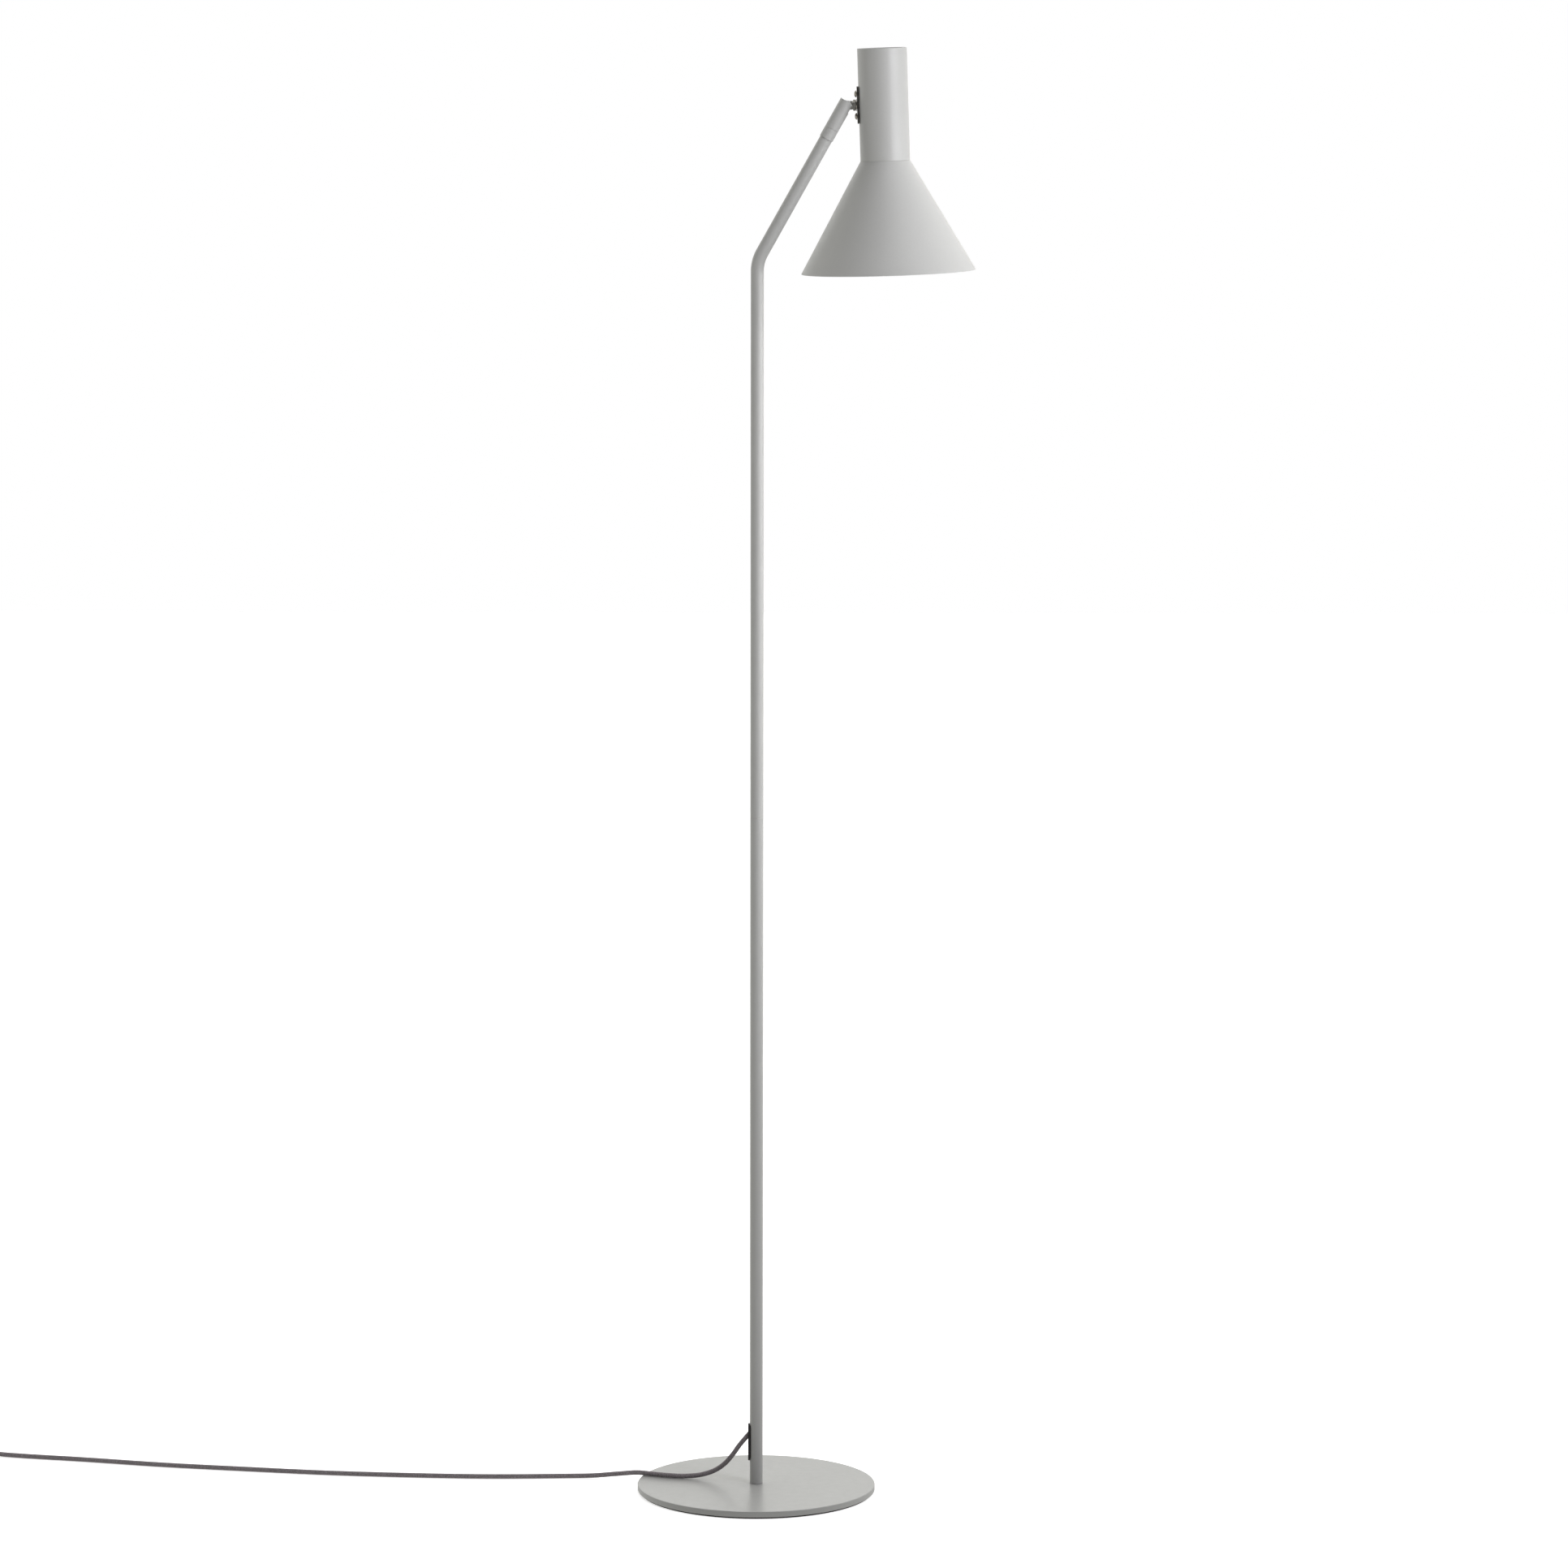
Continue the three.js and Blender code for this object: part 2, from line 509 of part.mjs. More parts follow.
function addCord() {
  piece('cord_run', cordTube(cordRun), textile());
  piece('cord_bend', cordTube(cordBend), textile());
  piece('cord_tail', cordTube(cordTail), textile());
  const { inner, outer, bottom, top } = coil;
  const bundle = ring(inner, outer, bottom, top, 28).translate(coil.x, coil.y, 0);
  piece('cord_coil', bundle, textile());
  const strapBlank = block([inner - 1.5, outer + 0.9], [-5, 5], [0.05, top + 0.9]);
  const strapHollow = block([inner - 0.9, outer + 0.3], [-6, 6], [bottom - 0.25, top + 0.3]);
  piece('cord_tie', cut(strapBlank, strapHollow).rotateZ(Math.PI / 4).translate(coil.x, coil.y, 0),
    rubber());
}

function addSwitch() {
  const { length, width, wall, split, top, cordHeight } = foot;
  const outside = () => roundedRectangle(length, width, 13);
  const inside = () => roundedRectangle(length - 2 * wall, width - 2 * wall, 11);
  const cordHole = () => alongX(rod(3.6, -40, 40)).translate(0, 0, cordHeight);
  const posts = (make) => [-1, 1].map((side) => make().translate(side * 21.5, 0, 0));

  const tray = cut(prism(outside(), 0, split, 2), prism(inside(), wall, split + 1, 2));
  piece('switch_base', cut(
    join(tray, ...posts(() => rod(4.2, wall - 0.5, split, 12))),
    cordHole(), ...posts(() => rod(1.6, -1, split + 1, 8)), ...posts(() => rod(3.1, -1, 3, 12)),
  ), blackPlastic(), footGroup);

  const lid = cut(prism(outside(), split + GAP, top, 2), prism(inside(), split, top - 2.2, 2));
  const rim = roundedRectangle(length + 2, width + 2, 14);
  rim.holes.push(new THREE.Path(roundedRectangle(length - 3, width - 3, 11.5).getPoints(2)));
  const topEdge = prism(rim, top - 1.2, top + 1, 2);
  piece('switch_cover', cut(
    join(lid, ...posts(() => rod(3, split + GAP, top - 2, 12))),
    rod(button.radius + 0.4, top - 6, top + 2, 24), cordHole(), topEdge,
    ...posts(() => rod(1.5, split - 1, 15, 8)),
  ), blackPlastic(), footGroup);

  piece('switch_button', turned([
    [0, 14], [button.flange, 14], [button.flange, 16], [button.radius, 16],
    [button.radius, button.top - 1], [button.radius - 1, button.top], [0, button.top - 0.6],
  ], 24), blackPlastic(), footGroup);
  piece('switch_block', block([-13, 13], [-7, 7], [wall + GAP, 8]), whitePlastic(), footGroup);
  piece('switch_spring', pressSpring(8.6, 13.4), zinc(), footGroup);
  for (const [name, side] of [['front', 1], ['back', -1]]) {
    const screw = turned([[0, 0.6], [2.8, 0.6], [2.8, 2.6], [1.25, 2.6], [1.25, 14], [0, 14]], 12);
    piece(`switch_screw_${name}`, screw.translate(side * 21.5, 0, 0), zinc(), footGroup);
    const sleeve = alongX(turned([
      [0, length / 2 - 1.7], [3.2, length / 2 - 1.7], [3.2, length / 2 + GAP],
      [relief.wide, length / 2 + GAP], [relief.narrow, length / 2 + relief.length],
      [0, length / 2 + relief.length],
    ], 12)).translate(0, 0, cordHeight);
    piece(`switch_relief_${name}`, sleeve.rotateZ(side > 0 ? 0 : Math.PI), rubber(), footGroup);
  }
}

// A short coil spring about Z.
function pressSpring(from, to) {
  const [turns, perTurn, radius, wire] = [3, 9, 5, 0.4];
  const points = [];
  for (let i = 0; i <= turns * perTurn; i += 1) {
    const angle = (2 * Math.PI * i) / perTurn;
    const height = from + wire + ((to - from - 2 * wire) * i) / (turns * perTurn);
    points.push(new THREE.Vector3(radius * Math.cos(angle), radius * Math.sin(angle), height));
  }
  return swept(points, wire, 4);
}

function addPlug() {
  const { length, width, half } = plug;
  const outline = new THREE.Shape();
  outline.moveTo(0, -6.5);
  outline.lineTo(6, -9.5);
  outline.lineTo(22, -width / 2 + 1.5);
  outline.lineTo(25, -width / 2);
  outline.lineTo(length, -width / 2);
  outline.lineTo(length, width / 2);
  outline.lineTo(25, width / 2);
  outline.lineTo(22, width / 2 - 1.5);
  outline.lineTo(6, 9.5);
  outline.lineTo(0, 6.5);
  outline.closePath();
  const pinHole = (side) => alongX(rod(2.3, length - 8, length + 2, 16)).translate(0, side * 9.3, 0);
  piece('plug_body', cut(prism(outline, -half, half), pinHole(-1), pinHole(1)), blackPlastic(), plugGroup);
  for (const [name, side] of [['left', 1], ['right', -1]]) {
    const pin = turned([[0, length - 7], [2, length - 7], [2, length + 17.6], [1, length + 19],
      [0, length + 19]], 16);
    piece(`plug_pin_${name}`, alongX(pin).translate(0, side * 9.3, 0), zinc(), plugGroup);
  }
  const sleeve = turned([[0, -plug.relief], [relief.narrow, -plug.relief], [5, -GAP], [0, -GAP]], 16);
  piece('plug_relief', alongX(sleeve), rubber(), plugGroup);
}

addBase();
addPole();
addGrommet();
addPoleLead();
addNeck();
addKnuckle();
addStem();
addBracket();
addCasing();
addShade();
addLampholder();
addHeadLead();
addBulb();
addCord();
addSwitch();
addPlug();

export default lamp;
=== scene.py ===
"""Looks of the floor reading lamp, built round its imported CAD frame. Metres, +Z up.

Each piece is drawn in millimetres in its own frame (the world, the neck, the head, the switch or
the plug) and set down in the world at the end.
"""

import json
import math

import bmesh
import bpy
import numpy as np
from mathutils import Matrix, Vector


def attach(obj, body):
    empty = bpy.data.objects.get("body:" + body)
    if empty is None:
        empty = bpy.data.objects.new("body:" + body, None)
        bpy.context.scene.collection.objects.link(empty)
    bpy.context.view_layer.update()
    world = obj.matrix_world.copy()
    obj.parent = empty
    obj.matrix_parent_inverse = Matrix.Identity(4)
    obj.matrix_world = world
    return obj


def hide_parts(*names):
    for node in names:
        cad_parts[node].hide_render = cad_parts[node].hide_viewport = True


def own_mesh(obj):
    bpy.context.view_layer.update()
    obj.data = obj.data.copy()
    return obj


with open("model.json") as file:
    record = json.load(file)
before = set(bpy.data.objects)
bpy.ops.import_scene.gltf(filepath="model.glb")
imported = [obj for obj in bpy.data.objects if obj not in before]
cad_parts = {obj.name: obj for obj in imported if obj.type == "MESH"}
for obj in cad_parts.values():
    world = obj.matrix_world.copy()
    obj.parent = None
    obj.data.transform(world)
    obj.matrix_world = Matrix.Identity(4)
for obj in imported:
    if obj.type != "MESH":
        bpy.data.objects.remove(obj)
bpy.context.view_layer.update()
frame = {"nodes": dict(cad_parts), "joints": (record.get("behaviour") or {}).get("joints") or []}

MM = 0.001
NODES = frame["nodes"]

# ---- sizes that several pieces share, in millimetres ----

GAP = 0.3  # clearance between two pieces that touch, as in the CAD model
SEAM = 0.1  # the fine gap where two painted pieces meet

BASE_RADIUS, BASE_TOP = 125, 8
TUBE, BORE = 6.75, 4.5  # radii of the pole
SOCKET, SOCKET_DEPTH = 5.3, 12  # round the threaded nipples
SEAM_HEIGHT = 716.7  # where the two halves of the pole meet
SLOT_CENTRE = 52.4  # height of the cord's opening

COLLAR = 7.35  # radius of the collar and the barrel
SWIVEL_ALONG = 155.5  # from the vertex of the bend to the swivel seam
PIVOT_ALONG = 182.8  # and to the tilt's pivot
HEAD_LEAN = math.radians(1.9)
HEAD_REACH = 39.9  # from the pivot to the head's own axis
HEAD_RADIUS, HEAD_INNER, HEAD_HALF = 25.5, 24.3, 57.5
STEM, STEM_COLLAR, STEM_BORE, STEM_HOLE = 4, 4.4, 2.3, 4.3  # radii
BRACKET_SCREW, BRACKET_SCREW_HOLE = 2, 2.3  # radii
SCREW_OFFSET = 11.4  # each bracket screw above or below the stem
CORD_HEIGHT = 8  # of the cord through the foot switch
PIN_OFFSET = 9.3  # each of the plug's pins from its middle


# ---- frames ----


def placed(origin, x_axis, z_axis):
    """The matrix from millimetres in a frame to metres in the world."""
    x, z = Vector(x_axis).normalized(), Vector(z_axis).normalized()
    y = z.cross(x)
    turn = Matrix((x, y, z)).transposed().to_4x4()
    return Matrix.Translation(Vector(origin)) @ turn @ Matrix.Scale(MM, 4)


JOINTS = {joint["name"]: joint for joint in frame["joints"]}
NECK_AXIS = Vector(JOINTS["head_swivel"]["axis"]).normalized()
NECK_ACROSS = Vector((NECK_AXIS.z, 0, -NECK_AXIS.x))
NECK_VERTEX = Vector(JOINTS["head_swivel"]["pos_m"]) - SWIVEL_ALONG * MM * NECK_AXIS
PIVOT = Vector(JOINTS["head_tilt"]["pos_m"])
HEAD_X = Vector((math.cos(HEAD_LEAN), 0, math.sin(HEAD_LEAN)))
HEAD_Z = Vector((-math.sin(HEAD_LEAN), 0, math.cos(HEAD_LEAN)))

WORLD = Matrix.Scale(MM, 4)
NECK = placed(NECK_VERTEX, NECK_ACROSS, NECK_AXIS)
KNUCKLE = placed(PIVOT, NECK_ACROSS, NECK_AXIS)
HEAD = placed(PIVOT, HEAD_X, HEAD_Z)
AXIS = placed(PIVOT + HEAD_REACH * MM * HEAD_X, HEAD_X, HEAD_Z)
FOOT = placed((-0.906, 0.1475, 0), (1, 0, 0), (0, 0, 1))
PLUG = placed((-0.888, 0.05, 0.007), (1, 0, 0), (0, 0, 1))

ALONG_X = Matrix.Rotation(math.pi / 2, 4, "Y")
ALONG_Y = Matrix.Rotation(-math.pi / 2, 4, "X")


# ---- camera ----

SENSOR, LENS = 36, 143.54
CAMERA_AT = (0.027, -6.44675, 1.598)
LOOKS_DOWN, ROLL = 7.476, -0.083  # degrees


def add_camera():
    data = bpy.data.cameras.new("camera")
    data.sensor_width = SENSOR
    data.lens = LENS
    data.clip_end = 60
    camera = bpy.data.objects.new("camera", data)
    camera.location = CAMERA_AT
    camera.rotation_euler = (math.radians(90 - LOOKS_DOWN), math.radians(ROLL), 0)
    bpy.context.scene.collection.objects.link(camera)
    bpy.context.scene.camera = camera


add_camera()


# ---- the cord ----

CORD_DIAMETER = 5.0
CORD_SIDES = 24
CORD_SPACING = 2.5  # between its rings of vertices

# The route's points, in millimetres, as in the CAD source.
CORD_RUN = [
    (-7.4, 0, 61.2), (-11, 0.1, 57), (-17.4, 0.9, 49), (-25.6, 3.6, 36.8), (-34.2, 8, 26.2),
    (-45, 12.8, 18), (-60, 16.6, 12.5), (-77.3, 18.4, 10.8), (-94.6, 22.2, 10.7),
    (-111.9, 29, 10.7), (-126, 35, 10.5), (-148, 43.5, 7), (-172, 49, 3.8), (-200, 51.2, 2.7),
    (-285, 48.5, 2.7), (-371.6, 53.7, 2.7), (-458.7, 63.8, 2.7), (-546.6, 80.1, 2.7),
    (-635.1, 98.3, 2.7), (-724.7, 122.1, 2.7), (-795, 138.8, 2.7), (-820, 143.8, 3.6),
    (-838, 146.5, 6.2), (-848, 147.4, 7.8), (-855.3, 147.5, 8),
]
CORD_BEND = [
    (-956.6, 147.5, 8), (-962, 147.4, 7.8), (-971.3, 145.5, 6.8), (-981.2, 139.8, 5.6),
    (-988.6, 131, 4.6), (-992.5, 120.2, 4), (-993, 108, 3.6), (-993, 96.9, 3.5),
]
CORD_TAIL = [(-934.4, 50, 8.5), (-929, 50, 8.4), (-920, 50, 7.4), (-913.4, 50, 7.1)]
COIL_CENTRE = (-960, 78)
# Radius and height where each turn starts. The last is the quarter turn that leads to the tail.
COIL_TURNS = [(33, 3.5), (28, 3.5), (23, 3.5), (23, 8.5), (28, 8.5), (28, 8.5)]
COIL_POINTS_PER_TURN = 48
STEP_FROM, STEP_LENGTH = 0.64, 0.34  # the part of a turn that steps over to the next
TUCK = 1.0  # how far the cord dips inwards where it climbs to the second layer


def ease(t):
    t = min(max(t, 0.0), 1.0)
    return t * t * (3 - 2 * t)


def coil_points():
    """Two flat layers, each turn stepping over to the next in its last third."""
    points = []
    turns = len(COIL_TURNS) - 1
    last = turns + 0.25
    for i in range(round(last * COIL_POINTS_PER_TURN) + 1):
        at = i / COIL_POINTS_PER_TURN
        turn = min(int(at), turns)
        step = ease((at - turn - STEP_FROM) / STEP_LENGTH)
        (r0, z0), (r1, z1) = COIL_TURNS[turn], COIL_TURNS[min(turn + 1, turns)]
        tuck = TUCK * math.sin(math.pi * step) if z1 != z0 else 0
        r = r0 + (r1 - r0) * step - tuck
        angle = math.pi + 2 * math.pi * at
        points.append((
            COIL_CENTRE[0] + r * math.cos(angle),
            COIL_CENTRE[1] + r * math.sin(angle),
            z0 + (z1 - z0) * step,
        ))
    return points


def distances(points):
    """How far along the path each point is."""
    return np.concatenate([[0], np.cumsum(np.linalg.norm(np.diff(points, axis=0), axis=1))])


def catmull(points, spacing, samples=24):
    """Points a set distance apart on a centripetal Catmull-Rom curve through the points."""
    p = [np.array(q, float) for q in points]
    p = [2 * p[0] - p[1], *p, 2 * p[-1] - p[-2]]
    dense = []
    for a, b, c, d in zip(p, p[1:], p[2:], p[3:]):
        k1 = np.linalg.norm(b - a) ** 0.5
        k2 = k1 + np.linalg.norm(c - b) ** 0.5
        k3 = k2 + np.linalg.norm(d - c) ** 0.5
        for t in np.linspace(k1, k2, samples, endpoint=False):
            ab = a + (b - a) * t / k1
            bc = b + (c - b) * (t - k1) / (k2 - k1)
            cd = c + (d - c) * (t - k2) / (k3 - k2)
            abc = ab + (bc - ab) * t / k2
            bcd = bc + (cd - bc) * (t - k1) / (k3 - k1)
            dense.append(abc + (bcd - abc) * (t - k1) / (k2 - k1))
    dense.append(p[-2])
    dense = np.array(dense)
    along = distances(dense)
    count = max(2, round(along[-1] / spacing) + 1)
    marks = np.linspace(0, along[-1], count)
    return np.stack([np.interp(marks, along, dense[:, k]) for k in range(3)], axis=1)


def framed(points):
    """Two unit vectors across the path at each point, which don't twist about it."""
    tangents = np.gradient(points, axis=0)
    tangents /= np.linalg.norm(tangents, axis=1)[:, None]
    side = np.cross(tangents[0], (0, 0, 1.0))
    sides = []
    for t in tangents:
        side = side - t * (side @ t)
        side = side / np.linalg.norm(side)
        sides.append(side)
    sides = np.array(sides)
    return sides, np.cross(sides, tangents)


def cord_mesh(points, along, sides, radius):
    """A closed tube. Its UVs go once round it in u, and in metres along it in v."""
    across, up = framed(points)
    angles = np.arange(sides) * 2 * math.pi / sides
    ring = (
        across[:, None, :] * np.cos(angles)[None, :, None]
        + up[:, None, :] * np.sin(angles)[None, :, None]
    )
    verts = (points[:, None, :] + ring * radius).reshape(-1, 3) * MM
    faces, uvs = [], []
    for i in range(len(points) - 1):
        for k in range(sides):
            n = (k + 1) % sides
            faces.append((i * sides + k, i * sides + n, (i + 1) * sides + n, (i + 1) * sides + k))
            u0, u1 = k / sides, (k + 1) / sides
            v0, v1 = along[i] * MM, along[i + 1] * MM
            uvs.extend([(u0, v0), (u1, v0), (u1, v1), (u0, v1)])
    last = (len(points) - 1) * sides
    faces.append(tuple(reversed(range(sides))))
    faces.append(tuple(range(last, last + sides)))
    uvs.extend([(k / sides, 0) for k in reversed(range(sides))])
    uvs.extend([(k / sides, along[-1] * MM) for k in range(sides)])
    mesh = bpy.data.meshes.new("cord")
    mesh.from_pydata(verts.tolist(), [], faces)
    layer = mesh.uv_layers.new(name="along_cord")
    layer.data.foreach_set("uv", np.array(uvs, np.float32).ravel())
    return mesh


def add_cord():
    # One point in three of the coil is enough for a smooth curve.
    points = catmull([*CORD_RUN, *CORD_BEND, *coil_points()[2::3], *CORD_TAIL], CORD_SPACING)
    along = distances(points)
    mesh = cord_mesh(points, along, CORD_SIDES, CORD_DIAMETER / 2)
    mesh.shade_smooth()
    obj = bpy.data.objects.new("mains_cord", mesh)
    bpy.context.scene.collection.objects.link(obj)
    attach(obj, "stand")
    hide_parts("cord_run", "cord_bend", "cord_coil", "cord_tail")
    return obj, points, float(along[-1]) * MM


cord, cord_points, cord_length = add_cord()


# ---- materials ----


class Tree:
    """A node tree, with short ways to add to it."""

    def __init__(self, tree):
        self.tree = tree

    def add(self, kind, inputs=None, **settings):
        node = self.tree.nodes.new(kind)
        for key, value in settings.items():
            setattr(node, key, value)
        for key, value in (inputs or {}).items():
            self.set(node.inputs[key], value)
        return node

    def set(self, socket, value):
        if isinstance(value, bpy.types.NodeSocket):
            self.tree.links.new(value, socket)
        else:
            socket.default_value = value

    def ranged(self, value, low, high, source=(0.3, 0.7), **settings):
        node = self.add("ShaderNodeMapRange", {
            "Value": value, "From Min": source[0], "From Max": source[1], "To Min": low,
            "To Max": high,
        }, **settings)
        return node.outputs["Result"]


class Nodes(Tree):
    """A material's node tree, with what the finishes share."""

    def __init__(self, name):
        self.material = bpy.data.materials.new(name)
        self.material.use_nodes = True
        super().__init__(self.material.node_tree)
        self.shader = self.tree.nodes["Principled BSDF"]
        self.place = self.add("ShaderNodeTexCoord").outputs["Object"]

    def noise(self, size_mm, detail=2.0, rough=0.5, place=None):
        """Noise whose features are about size_mm across."""
        return self.add("ShaderNodeTexNoise", {
            "Vector": place or self.place, "Scale": 1 / (size_mm * MM), "Detail": detail,
            "Roughness": rough,
        }).outputs["Fac"]

    def cells(self, size_mm, **settings):
        """Distance to the middle of the nearest of many cells, each about size_mm across."""
        return self.add("ShaderNodeTexVoronoi", {
            "Vector": self.place, "Scale": 1 / (size_mm * MM),
        }, **settings).outputs["Distance"]

    def maths(self, operation, a, b=0.0, c=0.0):
        node = self.add("ShaderNodeMath", {0: a, 1: b, 2: c}, operation=operation)
        return node.outputs[0]

    def mixed(self, factor, dark, light):
        node = self.add("ShaderNodeMix", {"Factor": factor}, data_type="RGBA")
        for socket, colour in zip((node.inputs[6], node.inputs[7]), (dark, light)):
            self.set(socket, colour if isinstance(colour, bpy.types.NodeSocket) else (*colour, 1))
        return node.outputs[2]

    def bumped(self, height, depth_mm, strength=1.0, onto=None):
        inputs = {"Height": height, "Distance": depth_mm * MM, "Strength": strength}
        if onto is not None:
            inputs["Normal"] = onto
        return self.add("ShaderNodeBump", inputs).outputs["Normal"]

    def finish(self, **sockets):
        for name, value in sockets.items():
            self.set(self.shader.inputs[name.replace("_", " ")], value)
        return self.material


def tone(colour, factor):
    return tuple(c * factor for c in colour)


def powder_coat(name, colour, low=0.4, high=0.48, ior=1.5):
    """Satin powder coat: orange peel a millimetre or two across, a fine grain, faint mottling."""
    n = Nodes(name)
    mottle = n.noise(60, 3)
    grain = n.noise(0.55, 2, 0.6)
    colours = n.mixed(n.ranged(mottle, 0, 1), tone(colour, 0.975), tone(colour, 1.02))
    speck = n.mixed(n.ranged(grain, 0, 1, (0.28, 0.72)), tone(colour, 0.93), tone(colour, 1.06))
    colours = n.mixed(0.55, colours, speck)
    peel = n.bumped(n.noise(1.7, 1), 0.03)
    fine = n.bumped(grain, 0.022, onto=peel)
    rough = n.ranged(n.noise(9, 3), low, high)
    return n.finish(Base_Color=colours, Roughness=rough, Normal=fine, IOR=ior)


def plated(name, colour, low=0.24, high=0.4):
    """Zinc or nickel plating with fine turning lines and a little dulling."""
    n = Nodes(name)
    stretch = n.add("ShaderNodeMapping", {"Vector": n.place, "Scale": (1.0, 1.0, 14.0)})
    lines = n.noise(3.2, 2, 0.6, stretch.outputs["Vector"])
    dull = n.noise(2.6, 3)
    colours = n.mixed(n.ranged(dull, 0, 1), tone(colour, 0.82), tone(colour, 1.08))
    bump = n.bumped(lines, 0.012)
    rough = n.ranged(dull, low, high)
    return n.finish(Base_Color=colours, Metallic=1.0, Roughness=rough, Normal=bump)


def blackened(name, colour):
    n = Nodes(name)
    grain = n.noise(0.5, 2)
    colours = n.mixed(n.ranged(n.noise(5, 3), 0, 1), tone(colour, 0.75), tone(colour, 1.3))
    bump = n.bumped(grain, 0.02)
    rough = n.ranged(grain, 0.42, 0.55)
    return n.finish(Base_Color=colours, Roughness=rough, Normal=bump, IOR=1.5)


def moulded(name, colour, grain_mm=0.35, depth_mm=0.025, rough=(0.42, 0.55)):
    """Moulded plastic or rubber with a spark-eroded grain."""
    n = Nodes(name)
    cells = n.cells(grain_mm, feature="SMOOTH_F1")
    mottle = n.noise(14, 3)
    colours = n.mixed(n.ranged(mottle, 0, 1), tone(colour, 0.88), tone(colour, 1.12))
    bump = n.bumped(cells, depth_mm, 0.8)
    return n.finish(
        Base_Color=colours, Roughness=n.ranged(cells, *rough, source=(0, 0.8)), Normal=bump, IOR=1.5
    )


def foam(name, colour):
    """Closed-cell foam: small open cells on its cut edge, their pits darkened with painted shade.
    """
    n = Nodes(name)
    cells = n.cells(0.7)
    # Painted shade: the colour is darkest in the cells' pits, where the bump is lowest, and lighter
    # on their rims.
    colours = n.mixed(n.ranged(cells, 0, 1, (0, 0.7)), tone(colour, 0.5), tone(colour, 1.3))
    bump = n.bumped(cells, 0.15)
    return n.finish(Base_Color=colours, Roughness=n.ranged(cells, 0.8, 0.95, (0, 0.7)), Normal=bump)


CARRIERS = 16  # strands that run each way round the braid
BRAID_PITCH = 0.021  # metres along the cord for one turn of a strand


def braided(name, dark, light):
    """A braid of thin yarns: two sets of strands cross, with painted shade darkening the gaps
    between them, and the odd pale fleck.
    """
    n = Nodes(name)
    uv = n.add("ShaderNodeUVMap", uv_map="along_cord").outputs["UV"]
    parts = n.add("ShaderNodeSeparateXYZ", {"Vector": uv})
    turn, along = parts.outputs["X"], parts.outputs["Y"]
    climb = n.maths("DIVIDE", along, BRAID_PITCH)
    strands = []
    for direction in (1, -1):
        phase = n.maths("MULTIPLY_ADD", climb, direction, turn)
        wave = n.maths("PINGPONG", n.maths("MULTIPLY", phase, CARRIERS), 0.5)
        strands.append(n.maths("MULTIPLY", wave, 2))
    # Which set lies on top alternates from one crossing to the next.
    cells = [
        n.maths("FLOOR", n.maths("MULTIPLY", n.maths("MULTIPLY_ADD", climb, d, turn), CARRIERS))
        for d in (1, -1)
    ]
    over = n.maths("PINGPONG", n.maths("ADD", cells[0], cells[1]), 1)
    top = n.add("ShaderNodeMix", {0: over, 2: strands[0], 3: strands[1]}, data_type="FLOAT")
    height = top.outputs[0]
    fibre = n.noise(0.14, 3, 0.7)
    fleck = n.noise(1.1, 2)
    # The colour follows the braid's height: painted shade in the gaps between the strands, lighter
    # on their crowns.
    colours = n.mixed(n.ranged(height, 0, 1, (0.05, 0.75)), tone(dark, 0.55), light)
    flecked = n.mixed(n.ranged(fleck, 0, 1, (0.42, 0.66)), dark, tone(light, 1.15))
    colours = n.mixed(0.45, colours, flecked)
    bump = n.bumped(height, 0.22)
    bump = n.bumped(fibre, 0.05, onto=bump)
    return n.finish(
        Base_Color=colours, Roughness=n.ranged(fibre, 0.78, 0.95), Normal=bump, Sheen_Weight=0.08,
        Sheen_Roughness=0.5,
    )


def opal_glass(name, colour):
    n = Nodes(name)
    cloud = n.noise(18, 3)
    colours = n.mixed(n.ranged(cloud, 0, 1), tone(colour, 0.965), colour)
    bump = n.bumped(n.noise(2.5, 2), 0.01)
    return n.finish(Base_Color=colours, Roughness=n.ranged(cloud, 0.2, 0.3), Normal=bump, IOR=1.5)


GREY = powder_coat("grey_powder_coat", (0.43, 0.43, 0.418))
# A darker copy of the grey powder coat for the base plate: painted shade, with lower roughness and
# a higher IOR.
GREY_SMOOTHER_PAINTED_SHADE = powder_coat("grey_powder_coat_plate", (0.374, 0.374, 0.364), 0.29, 0.35, 1.55)
INSIDE_WHITE = powder_coat("white_powder_coat", (0.82, 0.815, 0.79))
ZINC = plated("zinc_plating", (0.46, 0.43, 0.385))
SCREW_STEEL = plated("brown_steel", (0.36, 0.33, 0.285), 0.3, 0.46)
# A dark copy of the plating: painted shade for the nipples and the bolt that sit inside the tubes
# and the barrel.
STEEL_PAINTED_SHADE = plated("steel_painted_shade", (0.16, 0.155, 0.15), 0.4, 0.55)
DARK_ZINC = plated("dulled_zinc", (0.3, 0.29, 0.27), 0.36, 0.5)
PIN_METAL = plated("nickel_plating", (0.66, 0.62, 0.55), 0.16, 0.28)
BLACK_STEEL = blackened("black_steel", (0.045, 0.042, 0.036))
BRASS = plated("bare_brass", (0.78, 0.57, 0.24), 0.2, 0.34)
TONGUE_STEEL = plated("grey_steel", (0.36, 0.35, 0.33), 0.38, 0.52)
INNER_LEAD = moulded("inner_lead", (0.12, 0.11, 0.12), 0.4, 0.03, (0.6, 0.8))
RUBBER = moulded("black_rubber", (0.017, 0.016, 0.016), 0.5, 0.02, (0.55, 0.75))
FOAM = foam("black_foam", (0.03, 0.028, 0.026))
TEXTILE = braided("grey_braid", (0.134, 0.115, 0.121), (0.345, 0.31, 0.326))
BLACK_PLASTIC = moulded("black_plastic", (0.026, 0.026, 0.028))
WHITE_PLASTIC = moulded("white_plastic", (0.78, 0.77, 0.74), 0.5, 0.01)
OPAL = opal_glass("opal_glass", (0.93, 0.92, 0.88))

cord.data.materials.append(TEXTILE)


# ---- mesh helpers ----


